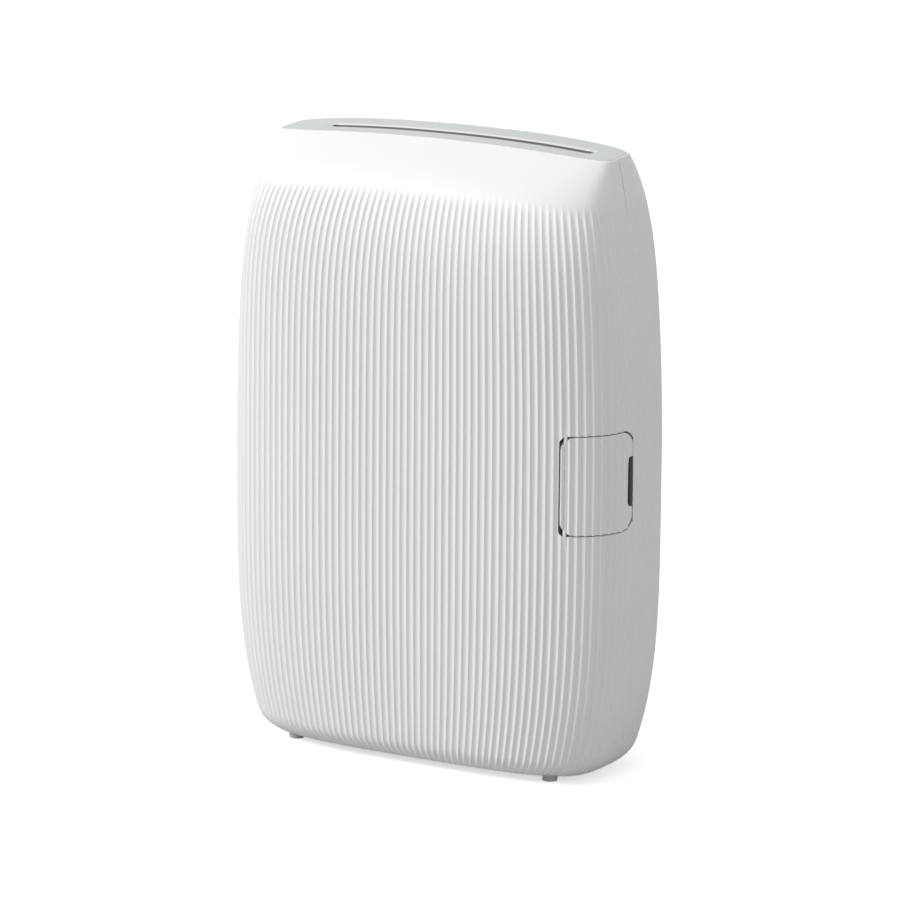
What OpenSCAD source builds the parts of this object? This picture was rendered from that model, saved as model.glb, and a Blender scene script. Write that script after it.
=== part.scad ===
// Compact photo printer: fluted two-part casing, film chamber with rear door,
// spreader rollers with their gear train, and the electronics in front of the chamber.
// X is the width, -Y is the front face, +Z is up. The feet stand on Z = 0.

/* [Body] */
// Overall width at the widest height
body_w = 90; // [88:0.5:110]
// Overall depth, front to back
body_d = 37.3; // [36.8:0.1:46]
// Overall height, feet included
body_h = 125; // [124:0.5:150]
// Height of the widest section
waist_z = 61; // [50:1:75]
// Width of the outline at the top cap
top_w = 76.6; // [74:0.1:84]
// Depth of the outline at the top cap
top_d = 13.5; // [13:0.1:18]
// Width of the base above its rounded edge
base_w = 76.2; // [74:0.1:90]
// Depth of the base above its rounded edge
base_d = 34.6; // [33:0.1:37]
// How far the top outline sits behind the seam
top_shift = 1.2; // [0:0.1:2]
// Width lost in the rounding of the bottom edge, each side
edge_x = 5; // [2:0.1:7]
// Depth lost in the rounding of the bottom edge, each side
edge_y = 7.9; // [2:0.1:8.5]
// Height of the rounding of the bottom edge
edge_z = 5; // [3:0.1:8]
// Drop of the crowned top at the reference width
crown = 2; // [0.5:0.1:3]
// Slope of the top, up towards the back, in degrees
top_slope = 4.8; // [0:0.1:6]
// Wall of the front and rear shells
wall_t = 1.8; // [1.4:0.1:2.2]
// Height of the feet below the base
foot_h = 0.5; // [0.3:0.1:1.5]
// Radius of a foot
foot_r = 1.5; // [1:0.1:3]
// Distance of each foot from the middle, along X
foot_x = 29.7; // [24:0.1:31]
// Distance of each foot from the seam, along Y
foot_y = 8.6; // [6:0.1:9]

/* [Top cap] */
// Thickness of the cap
cap_t = 1.8; // [1.4:0.1:2.4]
// Width of the shell's rim left showing round the cap
rim_t = 0.4; // [0.3:0.05:0.8]
// Gap between the cap and the rim
cap_gap = 0.1; // [0.05:0.05:0.3]
// Length of the film outlet slot
slot_l = 59.4; // [56:0.1:62]
// Opening of the film outlet slot
slot_w = 1.4; // [1:0.1:2]
// Place of the slot's middle to the right of the centre
slot_x = 2.2; // [0:0.1:3]
// Place of the slot behind the seam
slot_y = 1; // [0:0.1:2]
// How far the front land sinks towards the slot
valley_h = 0.3; // [0.1:0.05:0.6]

/* [Film door] */
// Width of the film door
door_w = 69; // [68:0.5:70]
// Height of the film door's upper edge
door_top_z = 106.5; // [104:0.5:108]
// Thickness of the film door
door_t = 2; // [1.6:0.1:2.2]
// Gap round the film door
door_gap = 0.3; // [0.2:0.05:0.5]
// Height of the door's hinge axis
hinge_z = 9.8; // [9.4:0.1:10.2]
// Radius of the hinge barrel
hinge_r = 1.6; // [1.4:0.1:1.8]
// Radius of the hinge pin
hinge_pin_r = 0.75; // [0.5:0.05:0.9]
// Travel of the door latch
latch_travel = 3; // [2:0.1:3.5]

/* [Port cover] */
// Width of the port cover across the corner
cover_w = 14.3; // [12:0.1:16]
// Height of the port cover
cover_h = 19.4; // [17:0.1:24]
// Height of the port cover's centre
cover_z = 61.2; // [56:0.1:64]
// Thickness of the port cover
cover_t = 1.3; // [1:0.1:1.5]
// Gap round the port cover
cover_gap = 0.25; // [0.15:0.05:0.35]
// Height of the finger notch
notch_h = 10; // [8:0.1:12]
// Depth of the finger notch
notch_d = 1.25; // [0.8:0.05:2]
// Slope of the port cover's upper and lower edges, up towards the back, in degrees
cover_rise = 2.6; // [0:0.1:4]

/* [Power button] */
// Radius of the power button
button_r = 3; // [2.5:0.1:3.2]
// Height of the power button
button_z = 49; // [44:0.5:52]
// Travel of the power button
button_travel = 0.35; // [0.2:0.05:0.4]

/* [Film feed] */
// Width of the film pack's space
pack_w = 62; // [61:0.5:62.5]
// Height of the film pack's space
pack_h = 90.6; // [89:0.2:91]
// Depth of the film pack, without its pressure side
pack_d = 11; // [10.5:0.1:11.5]
// Height of the roller axes
roller_z = 109.5; // [109:0.1:110]
// Radius of the roller shafts
shaft_r = 1.5; // [1:0.1:1.8]
// Gap between the rollers, for one sheet
film_gap = 0.3; // [0.2:0.05:0.5]
// Tooth size of the gears
gear_module = 0.5; // [0.4:0.1:0.5]
// Teeth of the two roller gears
roller_teeth = 14; // [12:1:14]
// Teeth of the feed gear
feed_teeth = 28; // [24:1:30]
// Teeth of the reduction gear
reduction_teeth = 26; // [22:1:28]
// Teeth of the motor pinion
pinion_teeth = 10; // [9:1:12]
// Travel of the film claw
claw_travel = 7; // [4:0.5:8]

/* [Electronics] */
// Width of the battery
battery_w = 40; // [34:0.5:42]
// Height of the battery
battery_h = 36; // [30:0.5:40]
// Thickness of the battery
battery_t = 5.6; // [4:0.1:6]
// Thickness of the main board
board_t = 1.2; // [0.8:0.1:1.6]

/* [Hidden] */
$fn = 48;

// How the outline fills out between the waist, the top and the base
up_x_power = 2;
up_y_power = 6.5;
down_x_power = 4.1;
down_y_power = 3.5;
shift_power = 6;
waist_side_power = 3;
waist_face_power = 3.65;
top_outline_power = 5;
base_outline_power = 3.45;
base_shift = 0.5;
crown_x = 40;
crown_power = 2.2;
crown_from_z = body_h - 30;
seam_y = 0;
skin_steps = 36;
edge_levels = 5;
side_levels = 15;
skin_levels = edge_levels + side_levels;
outline_steps = 96;
crown_steps = 24;
fade_room = 2;
fade_l = 5;
far = 60;
overlap = 0.5;

function signed_power(v, n) = sign(v) * pow(abs(v), 2 / n);
function up(z) = max(0, (z - waist_z) / (body_h - waist_z));
function down(z) = max(0, (waist_z - z) / (waist_z - foot_h));
function edge_curve(z) =
    let (k = min(1, max(0, 1 - (z - foot_h) / edge_z)))
    1 - sqrt(1 - k * k);
function half_w(z) =
    body_w / 2
    - (body_w - top_w) / 2 * pow(up(z), up_x_power)
    - (body_w - base_w) / 2 * pow(down(z), down_x_power)
    - edge_x * edge_curve(z);
function half_d(z) =
    body_d / 2
    - (body_d - top_d) / 2 * pow(up(z), up_y_power)
    - (body_d - base_d) / 2 * pow(down(z), down_y_power)
    - edge_y * edge_curve(z);
function centre_y(z) = top_shift * pow(up(z), shift_power) + base_shift * pow(down(z), 2);
function blend_power(z, waist) =
    waist
    + (top_outline_power - waist) * pow(up(z), 2)
    + (base_outline_power - waist) * pow(down(z), 2);
function side_power(z) = blend_power(z, waist_side_power);
function face_power(z) = blend_power(z, waist_face_power);
function top_weight(z) = pow(max(0, (z - crown_from_z) / (body_h - crown_from_z)), 2);
function crown_drop(x) = crown * pow(abs(x) / crown_x, crown_power);
function lift(x, y, z) = top_weight(z) * (y * tan(top_slope) - crown_drop(x));

// A point of the casing's skin at height z and outline angle t, moved in by inset
function skin(z, t, inset) =
    let (x = (half_w(z) - inset) * signed_power(cos(t), side_power(z)))
    let (y = centre_y(z) + (half_d(z) - inset) * signed_power(sin(t), face_power(z)))
    [x, y, z + lift(x, y, z)];

// Depth of the skin at height z over a place x
function skin_y(x, z, inset) =
    (half_d(z) - inset)
    * pow(1 - pow(min(1, abs(x) / (half_w(z) - inset)), side_power(z)), 1 / face_power(z));
// Direction of the skin's outward normal, in degrees from the X axis
function skin_turn(z, t) =
    let (m = side_power(z))
    let (n = face_power(z))
    let (along_x = m / half_w(z) * signed_power(cos(t), m / (m - 1)))
    let (along_y = n / half_d(z) * signed_power(sin(t), n / (n - 1)))
    atan2(along_y, along_x);

// Below 1 inside the outline at height z, above 1 outside it
function outline_level(p, z) =
    pow(abs(p.x) / half_w(z), side_power(z)) + pow(abs(p.y - centre_y(z)) / half_d(z), face_power(z));
function rear_y(x, z, inset) = centre_y(z) + skin_y(x, z, inset);
function front_y(x, z, inset) = centre_y(z) - skin_y(x, z, inset);

// Outline angle where the skin meets the seam plane, from the X axis
function seam_angle(z, inset) =
    let (q = (centre_y(z) - seam_y) / (half_d(z) - inset))
    sign(q) * asin(pow(abs(q), face_power(z) / 2));
function half_t(side, u, z, inset) =
    let (s = seam_angle(z, inset))
    side < 0 ? 180 + s + u * (180 - 2 * s) : -s + u * (180 + 2 * s);

// Heights of the skin's rings: close together in the bottom edge, and towards the top
function ring_z(j) =
    let (side_z = foot_h + edge_z)
    j < edge_levels
    ? side_z - edge_z * cos(90 * j / edge_levels)
    : side_z + (body_h - side_z) * (1 - cos(180 * (j - edge_levels) / side_levels)) / 2;
function level_z(j, low) = low + (ring_z(j) - foot_h) * (body_h - low) / (body_h - foot_h);

// Half of the casing as one closed solid, with its floor
module half_shell(side, thick) {
    n = skin_steps;
    m = skin_levels;
    floor_z = foot_h + thick;
    outer = [for (j = [0:m]) for (i = [0:n])
        let (z = level_z(j, foot_h))
        skin(z, half_t(side, i / n, z, 0), 0)];
    inner = [for (j = [0:m]) for (i = [0:n])
        let (z = level_z(j, floor_z))
        skin(z, half_t(side, i / n, z, thick), thick)];
    base = (m + 1) * (n + 1);
    function o(j, i) = j * (n + 1) + i;
    function c(j, i) = base + j * (n + 1) + i;
    faces = concat(
        [for (j = [0:m - 1]) for (i = [0:n - 1]) [o(j, i), o(j + 1, i), o(j + 1, i + 1), o(j, i + 1)]],
        [for (j = [0:m - 1]) for (i = [0:n - 1]) [c(j, i), c(j, i + 1), c(j + 1, i + 1), c(j + 1, i)]],
        [for (i = [0:n - 1]) [o(m, i), c(m, i), c(m, i + 1), o(m, i + 1)]],
        [for (j = [0:m - 1]) [o(j, 0), c(j, 0), c(j + 1, 0), o(j + 1, 0)]],
        [for (j = [0:m - 1]) [o(j, n), o(j + 1, n), c(j + 1, n), c(j, n)]],
        [[o(0, 0), o(0, n), c(0, n), c(0, 0)]],
        [[for (i = [0:n]) o(0, i)]],
        [[for (i = [n:-1:0]) c(0, i)]]
    );
    polyhedron(points = concat(outer, inner), faces = faces, convexity = 6);
}

// Flat outline of the casing's top, moved in by inset
module top_outline(inset) {
    polygon([for (i = [0:outline_steps - 1])
        let (p = skin(body_h, 360 * i / outline_steps, inset))
        [p.x, p.y]]);
}

// 1 over most of a sweep of half length half_l, then easing down to almost nothing at its ends
function fade(x, half_l) =
    0.505 + 0.495 * cos(180 * min(1, max(0, (abs(x) - half_l + fade_l) / fade_l)));

// A YZ profile swept along X with the crown, about mid_x: each point is a place along Y, a
// height over the sloping top, and a height that fades out towards the ends
module crown_sweep(profile, mid_x, half_l, steps) {
    n = len(profile);
    xs = [for (i = [0:steps]) mid_x - half_l + 2 * half_l * i / steps];
    points = [for (x = xs) for (p = profile)
        [x, p[0], body_h - crown_drop(x) + p[0] * tan(top_slope) + p[1]
            + p[2] * fade(x - mid_x, half_l)]];
    faces = concat(
        [for (i = [0:steps - 1]) for (k = [0:n - 1])
            [i * n + k, i * n + (k + 1) % n, (i + 1) * n + (k + 1) % n, (i + 1) * n + k]],
        [[for (k = [n - 1:-1:0]) k]],
        [[for (k = [0:n - 1]) steps * n + k]]
    );
    polyhedron(points = points, faces = faces, convexity = 4);
}

module rounded_rect(w, h, r) {
    square([w - 2 * r, h], center = true);
    square([w, h - 2 * r], center = true);
    for (x = [-1, 1]) {
        for (y = [-1, 1]) {
            translate([x * (w / 2 - r), y * (h / 2 - r)])
                circle(r);
        }
    }
}

// Box from its low corner to its high corner
module block(low, high) {
    translate(low)
        cube(high - low);
}

// Cylinder along X, from x1 to x2
module rod_x(x1, x2, y, z, r) {
    translate([x1, y, z])
        rotate([0, 90, 0])
            cylinder(h = x2 - x1, r = r);
}

// Cylinder along Y, from y1 to y2
module rod_y(y1, y2, x, z, r) {
    translate([x, y2, z])
        rotate([90, 0, 0])
            cylinder(h = y2 - y1, r = r);
}

// A YZ outline extruded along X, from x1 to x2
module extrude_x(x1, x2) {
    translate([x1, 0, 0])
        rotate([90, 0, 90])
            linear_extrude(height = x2 - x1)
                children();
}

// An XZ outline extruded along Y, from y1 to y2
module extrude_y(y1, y2) {
    translate([0, y2, 0])
        rotate([90, 0, 0])
            linear_extrude(height = y2 - y1)
                children();
}

// ---- Case screws: the seam clamps the chassis tabs between the two shells ----
screw_r = 1;
screw_head_r = 1.9;
screw_head_t = 1.2;
screw_boss_r = 2.6;
screw_in = 3.9;
upper_right_z = 88;
upper_left_z = 64;
lower_z = 18;
tab_front_y = -0.9;
tab_t = 1.5;
tab_rear_y = tab_front_y + tab_t;
screw_end_y = -7;
function screw_x(z) = half_w(z) - wall_t - screw_in;
screw_places = [
    [-screw_x(upper_left_z), upper_left_z],
    [screw_x(upper_right_z), upper_right_z],
    [-screw_x(lower_z), lower_z],
    [screw_x(lower_z), lower_z]
];
function screw_seat_y(p) = rear_y(abs(p[0]) + screw_head_r, p[1], wall_t) - screw_head_t;

// ---- Feet ----
foot_pocket = 1.2;
fit_gap = 0.05;

module foot_places() {
    for (x = [-foot_x, foot_x]) {
        for (y = [-foot_y, foot_y]) {
            translate([x, y, 0])
                children();
        }
    }
}

// ---- Port cover frame: u points out of the corner from the skin, v from the front edge back ----
cover_place = 335;
cover_lean = 3.8;
cover_mid = skin(cover_z, cover_place, 0);
cover_turn = skin_turn(cover_z, cover_place) + cover_lean;
cover_corner_r = 2.6;
cover_swing_r = 1.3;
cover_pin_inset = 0.45;
cover_pin_ahead = 0.8;
cover_pin_r = 0.42;
cover_barrel_r = 0.78;
cover_pin_hold = 1.8;
cover_corner_steps = 8;
cover_low_z = cover_z - cover_h / 2;
cover_high_z = cover_z + cover_h / 2;
bezel_depth = 3.9;
bezel_t = 1.2;
bezel_wall = 1;
bezel_h = cover_h + 1.2;
bezel_w = cover_w - 0.4;
socket_l = 5.9;
socket_w = 8.94;
socket_d = 3.26;
socket_v = 0.4;
socket_z = cover_z - 3;
socket_rear_u = -bezel_depth - socket_l;
port_board_t = 1;
reset_r = 0.6;
reset_z = cover_z + 6;

// Where the skin crosses a line along u at a place v, by halving the span between low and high
function cover_skin_u(v, low, high, tries) =
    let (mid = (low + high) / 2)
    let (p = [cover_mid.x + mid * cos(cover_turn) - v * sin(cover_turn),
        cover_mid.y + mid * sin(cover_turn) + v * cos(cover_turn)])
    tries == 0 ? mid
    : outline_level(p, cover_z) > 1 ? cover_skin_u(v, low, mid, tries - 1)
    : cover_skin_u(v, mid, high, tries - 1);
cover_pin_u = cover_skin_u(-cover_w / 2, -body_d / 4, cover_t, 20) - cover_pin_inset;
cover_pin_v = -cover_w / 2 + cover_pin_ahead;
cover_pin_low_z = cover_low_z + cover_pin_v * tan(cover_rise);
cover_pin_high_z = cover_pin_low_z + cover_h;

module cover_frame() {
    translate([cover_mid.x, cover_mid.y, 0])
        rotate([0, 0, cover_turn])
            children();
}

// Box in the cover frame, from its low corner to its high corner
module cover_block(low, high) {
    cover_frame()
        block(low, high);
}

// The cover's outline, extruded along u, grown by grow, with its own hinge side corners
module cover_prism(grow, hinge_side_r) {
    n = cover_corner_steps;
    corners = [
        [1, 1, 0, cover_corner_r], [-1, 1, 90, hinge_side_r],
        [-1, -1, 180, hinge_side_r], [1, -1, 270, cover_corner_r]
    ];
    cover_frame()
        translate([-cover_w / 2, 0, cover_z])
            rotate([90, 0, 90])
                linear_extrude(height = cover_w)
                    polygon([for (corner = corners) for (k = [0:n])
                        let (a = corner[2] + 90 * k / n)
                        let (r = corner[3])
                        let (v = corner[0] * (cover_w / 2 + grow - r) + r * cos(a))
                        let (w = corner[1] * (cover_h / 2 + grow - r) + r * sin(a))
                        [v, w + v * tan(cover_rise)]]);
}

module cover_axis(low, high, r) {
    cover_frame()
        translate([cover_pin_u, cover_pin_v, low])
            cylinder(h = high - low, r = r);
}

// ---- Power button frame: the axis points out of the left side, from the skin ----
button_place = 186;
button_mid = skin(button_z, button_place, 0);
button_turn = skin_turn(button_z, button_place);
button_inset = 0.25;
button_gap = 0.05;
button_flange_t = 0.8;
ring_t = 0.8;
ring_r = button_r + button_gap + ring_t;
ring_low = -2.6;
button_board_w = -7;
button_board_t = 0.8;
switch_t = 0.9;
dome_t = 0.4;
dome_r = 0.8;

// Turns the Z axis to point out of the skin at the button
module button_frame() {
    translate([button_mid.x, button_mid.y, button_z])
        rotate([0, 0, button_turn])
            rotate([0, 90, 0])
                children();
}

// ---- Film chamber ----
chamber_wall = 1.5;
chamber_y = tab_rear_y;
chamber_x = pack_w / 2;
chamber_low_z = hinge_z + 2;
chamber_top_z = chamber_low_z + pack_h;
chassis_x = chamber_x + chamber_wall;
chassis_low_z = chamber_low_z - chamber_wall;
chassis_top_z = chamber_top_z + chamber_wall;
flange_t = 1.2;
flange_w = 2;
flange_rise = 2.2;
seal_t = 0.9;
seal_w = 1.6;
seal_side = 0.9;
tongue_t = 1.3;
tongue_w = 10;
tongue_high_z = door_top_z + 2.8;
tongue_y = rear_y(tongue_w / 2, tongue_high_z, wall_t) - 0.45 - tongue_t;
seal_rear_y = min(rear_y(chassis_x + seal_side, chamber_low_z, door_t), tongue_y - 0.3);
mouth_y = seal_rear_y - seal_t;

// ---- Film feed ----
gear_gap = 0.1;
addendum = 0.42;
dedendum = 0.6;
backlash = 0.12;
pressure_angle = 20;
roller_pitch = roller_teeth * gear_module + gear_gap;
roller_r = (roller_pitch - film_gap) / 2;
nip_y = 1.2;
front_roller_y = nip_y - roller_pitch / 2;
rear_roller_y = nip_y + roller_pitch / 2;
roller_l = pack_w - 4;
bracket_t = 1.5;
bracket_x = chassis_x;
bracket_out_x = bracket_x + bracket_t;
bush_r = 2.4;
gear_t = 2.2;
gear_x = -(bracket_out_x + 0.4 + gear_t);
post_r = 1;
pinion_shaft_r = 0.75;
motor_r = 4.5;
motor_boss_r = 1.95;
motor_l = 17;
feed_room = 0.6;
reduction_room = 0.65;
pinion_step = 3;
function pitch_r(teeth) = teeth * gear_module / 2;
function centres(a, b) = pitch_r(a) + pitch_r(b) + gear_gap;
function below(from_y, to_y, distance) = sqrt(pow(distance, 2) - pow(to_y - from_y, 2));
feed_y = front_y(-gear_x, 99.8, wall_t) + pitch_r(feed_teeth) + addendum + feed_room;
reduction_y = front_y(-gear_x, 86.2, wall_t) + pitch_r(reduction_teeth) + addendum + reduction_room;
pinion_y = reduction_y - pinion_step;
feed_z = roller_z - below(front_roller_y, feed_y, centres(roller_teeth, feed_teeth));
reduction_z = feed_z - below(feed_y, reduction_y, centres(feed_teeth, reduction_teeth));
pinion_z = reduction_z - below(reduction_y, pinion_y, centres(reduction_teeth, pinion_teeth));

// Turn of a gear whose teeth fall between those of the gear that drives it
function meshed(phase, teeth, from, to, next_teeth) =
    let (line = atan2(to[1] - from[1], to[0] - from[0]))
    line + 180 - (0.5 - (line - phase) * teeth / 360) * 360 / next_teeth;
front_roller_at = [front_roller_y, roller_z];
rear_roller_at = [rear_roller_y, roller_z];
feed_at = [feed_y, feed_z];
reduction_at = [reduction_y, reduction_z];
pinion_at = [pinion_y, pinion_z];
front_roller_phase = 0;
rear_roller_phase =
    meshed(front_roller_phase, roller_teeth, front_roller_at, rear_roller_at, roller_teeth);
feed_phase = meshed(front_roller_phase, roller_teeth, front_roller_at, feed_at, feed_teeth);
reduction_phase = meshed(feed_phase, feed_teeth, feed_at, reduction_at, reduction_teeth);
pinion_phase = meshed(reduction_phase, reduction_teeth, reduction_at, pinion_at, pinion_teeth);

module gear_outline(teeth, phase) {
    r = pitch_r(teeth);
    half = (PI * gear_module / 2 - backlash) / 2;
    polygon([for (i = [0:teeth - 1])
        for (corner = [[-1, -dedendum], [-1, addendum], [1, addendum], [1, -dedendum]])
        let (radius = r + corner[1])
        let (side = corner[0] * (half - corner[1] * tan(pressure_angle)))
        let (a = phase + 360 * i / teeth + side / radius * 180 / PI)
        radius * [cos(a), sin(a)]]);
}

// A spur gear with its bore, its teeth set by phase
module gear(teeth, at, phase, bore_r) {
    extrude_x(gear_x, gear_x + gear_t)
        translate(at)
            difference() {
                gear_outline(teeth, phase);
                circle(bore_r);
            }
}

// ================= Casing =================

// The space between two heights over the sloping top
module top_band(low, high) {
    corners = [[-far, low, 0], [-far, high, 0], [far, high, 0], [far, low, 0]];
    crown_sweep(corners, 0, body_w / 2, crown_steps);
}

module cap_seat() {
    intersection() {
        linear_extrude(height = far * 3)
            top_outline(rim_t);
        top_band(-cap_t, far);
    }
}

module shell_bosses(side) {
    for (p = screw_places) {
        edge_x = abs(p[0]) + screw_boss_r;
        if (side < 0) {
            rod_y(front_y(edge_x, p[1], wall_t / 2), tab_front_y, p[0], p[1], screw_boss_r);
        } else {
            rod_y(tab_rear_y, rear_y(edge_x, p[1], wall_t / 2), p[0], p[1], screw_boss_r);
        }
    }
}

module front_shell() {
    color("white")
    difference() {
        union() {
            half_shell(-1, wall_t);
            shell_bosses(-1);
            for (s = [[-1, 1], [1, -1]]) {
                button_frame()
                    translate([s[0] * 4.8, s[1] * 4, button_board_w])
                        cylinder(h = -button_board_w - wall_t + 0.4, r = 1);
            }
        }
        cap_seat();
        for (p = screw_places) {
            rod_y(screw_end_y - overlap, overlap, p[0], p[1], screw_r);
        }
        cover_prism(cover_gap, cover_swing_r);
        cover_axis(cover_pin_low_z - cover_pin_hold, cover_pin_high_z + cover_pin_hold,
            cover_pin_r + 0.01);
        button_frame()
            translate([0, 0, -wall_t - 3])
                cylinder(h = 10, r = ring_r + fit_gap);
        foot_places()
            translate([0, 0, -1])
                cylinder(h = 1 + foot_pocket + fit_gap, r = foot_r + fit_gap);
    }
}

hinge_y = rear_y(0, hinge_z, 0) - hinge_r;
barrel_x = 18;
ear_gap = 0.3;
ear_t = 2.5;
door_low_z = hinge_z - hinge_r;
door_r = 5;

// The film door's outline extruded along Y, grown by grow
module door_prism(grow) {
    translate([0, 0, (door_low_z + door_top_z) / 2])
        extrude_y(4, far)
            rounded_rect(door_w + 2 * grow, door_top_z - door_low_z + 2 * grow, door_r);
}

module ear_places() {
    for (s = [-1, 1]) {
        mid = s * (barrel_x + ear_gap + ear_t / 2);
        translate([mid - ear_t / 2, 0, 0])
            children();
    }
}

module rear_shell() {
    color("white")
    difference() {
        union() {
            difference() {
                union() {
                    half_shell(1, wall_t);
                    shell_bosses(1);
                }
                door_prism(door_gap);
            }
            ear_places() {
                rod_x(0, ear_t, hinge_y, hinge_z, hinge_r - 0.1);
                block([0, hinge_y - 1.3, door_low_z - 3], [ear_t, hinge_y + 1, hinge_z]);
            }
        }
        cap_seat();
        rod_x(-far, far, hinge_y, hinge_z, hinge_pin_r);
        for (p = screw_places) {
            rod_y(0, far, p[0], p[1], screw_r + 0.1);
            rod_y(screw_seat_y(p), far, p[0], p[1], screw_head_r + 0.15);
        }
        foot_places()
            translate([0, 0, -1])
                cylinder(h = 1 + foot_pocket + fit_gap, r = foot_r + fit_gap);
    }
}

guide_t = 1;
guide_gap = 0.2;
guide_low_z = roller_z + roller_r + 1.4;
skirt_h = 3.5;
skirt_t = 1;
skirt_gap = 0.2;
lip_h = 0.1;
land_d = 6.4;
lip_d = 2.3;
valley_steps = 28;

module top_cap() {
    slot_front = slot_y - slot_w / 2;
    slot_rear = slot_y + slot_w / 2;
    slot_left = slot_x - slot_l / 2;
    slot_right = slot_x + slot_l / 2;
    color("gainsboro")
    difference() {
        union() {
            intersection() {
                linear_extrude(height = far * 3)
                    top_outline(rim_t + cap_gap);
                top_band(-cap_t, 0);
            }
            intersection() {
                union() {
                    translate([0, 0, body_h - cap_t - crown - skirt_h])
                        linear_extrude(height = far)
                            difference() {
                                top_outline(wall_t + skirt_gap);
                                top_outline(wall_t + skirt_gap + skirt_t);
                            }
                    for (y = [slot_front - guide_t - guide_gap, slot_rear + guide_gap]) {
                        block([slot_left - 1, y, guide_low_z],
                            [slot_right + 1, y + guide_t, body_h + far]);
                    }
                }
                top_band(-far, -cap_t + 0.2);
            }
        }
        block([slot_left, slot_front, guide_low_z - 1], [slot_right, slot_rear, body_h + 5]);
        crown_sweep([
            [slot_y - land_d, 0.01, 0],
            [slot_y - land_d, 4, 0],
            [slot_y + lip_d, 4, 0],
            [slot_y + lip_d, 0.01, 0],
            [slot_rear, 0.01, -valley_h + lip_h],
            [slot_front, 0.01, -valley_h]
        ], slot_x, slot_l / 2 + fade_l - fade_room, valley_steps);
    }
}

module feet() {
    color("lightgray")
    foot_places() {
        cylinder(h = foot_pocket, r = foot_r);
    }
}

module case_screws() {
    color("silver")
    for (p = screw_places) {
        seat = screw_seat_y(p);
        difference() {
            union() {
                rod_y(screw_end_y, seat + overlap, p[0], p[1], screw_r);
                rod_y(seat, seat + screw_head_t, p[0], p[1], screw_head_r);
            }
            for (a = [0, 90]) {
                translate([p[0], seat + screw_head_t, p[1]])
                    rotate([0, a, 0])
                        cube([2.2, 1, 0.5], center = true);
            }
        }
    }
}

// ================= Film door =================

latch_w = 16;
latch_low_z = 92;
latch_high_z = 102.8;
latch_gap = 0.3;
latch_t = 1.6;
latch_y = rear_y(latch_w / 2, door_top_z - 3, door_t) - latch_gap - latch_t;
pad_w = 12;
pad_h = 5;
pad_low_z = 94.2;
spring_rib_z = 85;

module film_door() {
    color("white")
    difference() {
        union() {
            intersection() {
                half_shell(1, door_t);
                door_prism(0);
            }
            rod_x(-barrel_x, barrel_x, hinge_y, hinge_z, hinge_r);
            for (s = [-1, 1]) {
                block([s * (latch_w / 2 + 0.9) - 0.6, latch_y - 0.4, latch_low_z],
                    [s * (latch_w / 2 + 0.9) + 0.6, rear_y(9.5, 97, door_t / 2), latch_high_z]);
                block([s * (latch_w / 2 + 0.3) - 1.2, latch_y - 1, latch_low_z],
                    [s * (latch_w / 2 + 0.3) + 1.2, latch_y - latch_gap, latch_high_z]);
            }
            block([-3, latch_y, spring_rib_z - 1.2], [3, rear_y(3, 85, door_t / 2), spring_rib_z]);
        }
        difference() {
            block([-far, hinge_y, 0], [far, far, hinge_z]);
            rod_x(-2 * far, 2 * far, hinge_y, hinge_z, hinge_r);
        }
        rod_x(-far, far, hinge_y, hinge_z, hinge_pin_r + fit_gap);
        ear_places()
            block([-ear_gap, hinge_y - 5, 0], [ear_t + ear_gap, far, hinge_z + hinge_r + ear_gap]);
        block([-pad_w / 2 - latch_gap, latch_y, pad_low_z - latch_travel - latch_gap],
            [pad_w / 2 + latch_gap, far, pad_low_z + pad_h + latch_gap]);
    }
}

module door_hinge_pin() {
    color("silver")
    rod_x(-barrel_x - ear_gap - ear_t, barrel_x + ear_gap + ear_t, hinge_y, hinge_z, hinge_pin_r);
}

module door_latch() {
    pad_y = rear_y(0, pad_low_z + pad_h / 2, 0) - 0.35;
    color("gainsboro")
    difference() {
        union() {
            block([-latch_w / 2, latch_y, latch_low_z], [latch_w / 2, latch_y + latch_t, latch_high_z]);
            block([-tongue_w / 2, tongue_y, latch_high_z - 3],
                [tongue_w / 2, tongue_y + tongue_t, tongue_high_z]);
            block([-pad_w / 2, latch_y, pad_low_z], [pad_w / 2, pad_y, pad_low_z + pad_h]);
        }
        for (k = [0:2]) {
            translate([0, pad_y, pad_low_z + 1.25 + k * 1.25])
                rotate([45, 0, 0])
                    cube([pad_w * 2, 0.5, 0.5], center = true);
        }
    }
}

module latch_spring() {
    leaf_t = 0.4;
    low = spring_rib_z + 0.02;
    high = latch_low_z - 0.02;
    y = latch_y + 0.4;
    color("silver")
    extrude_y(y, y + 1)
        polygon([
            [-4, low], [-4 + 1.4, low], [3.4, (low + high) / 2], [-4 + 1.4, high],
            [-4, high], [-4, high - leaf_t], [-4 + 1.2, high - leaf_t],
            [2.6, (low + high) / 2], [-4 + 1.2, low + leaf_t], [-4, low + leaf_t]
        ]);
}

spring_x = 20;
leaf_w = 8;

module door_springs() {
    leaf_t = 0.35;
    low = 30;
    high = 84;
    seat = rear_y(spring_x + leaf_w / 2, low, door_t) - 0.03;
    rise = seat - leaf_t - (chamber_y + pack_d) - 2;
    color("silver")
    for (s = [-1, 1]) {
        extrude_x(s * spring_x - leaf_w / 2, s * spring_x + leaf_w / 2)
            polygon(concat(
                [for (i = [0:12]) [seat - rise * sin(15 * i), low + (high - low) * i / 12]],
                [for (i = [12:-1:0]) [seat - leaf_t - rise * sin(15 * i), low + (high - low) * i / 12]]
            ));
    }
}

module door_seal() {
    w = 2 * (chassis_x + seal_side);
    low = chamber_low_z - seal_w;
    high = chassis_top_z + seal_side;
    color("dimgray")
    translate([0, 0, (low + high) / 2])
        extrude_y(mouth_y, mouth_y + seal_t)
            difference() {
                rounded_rect(w, high - low, 3);
                rounded_rect(w - 2 * seal_w, high - low - 2 * seal_w, 1.5);
            }
}

// ================= Port cover =================

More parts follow.
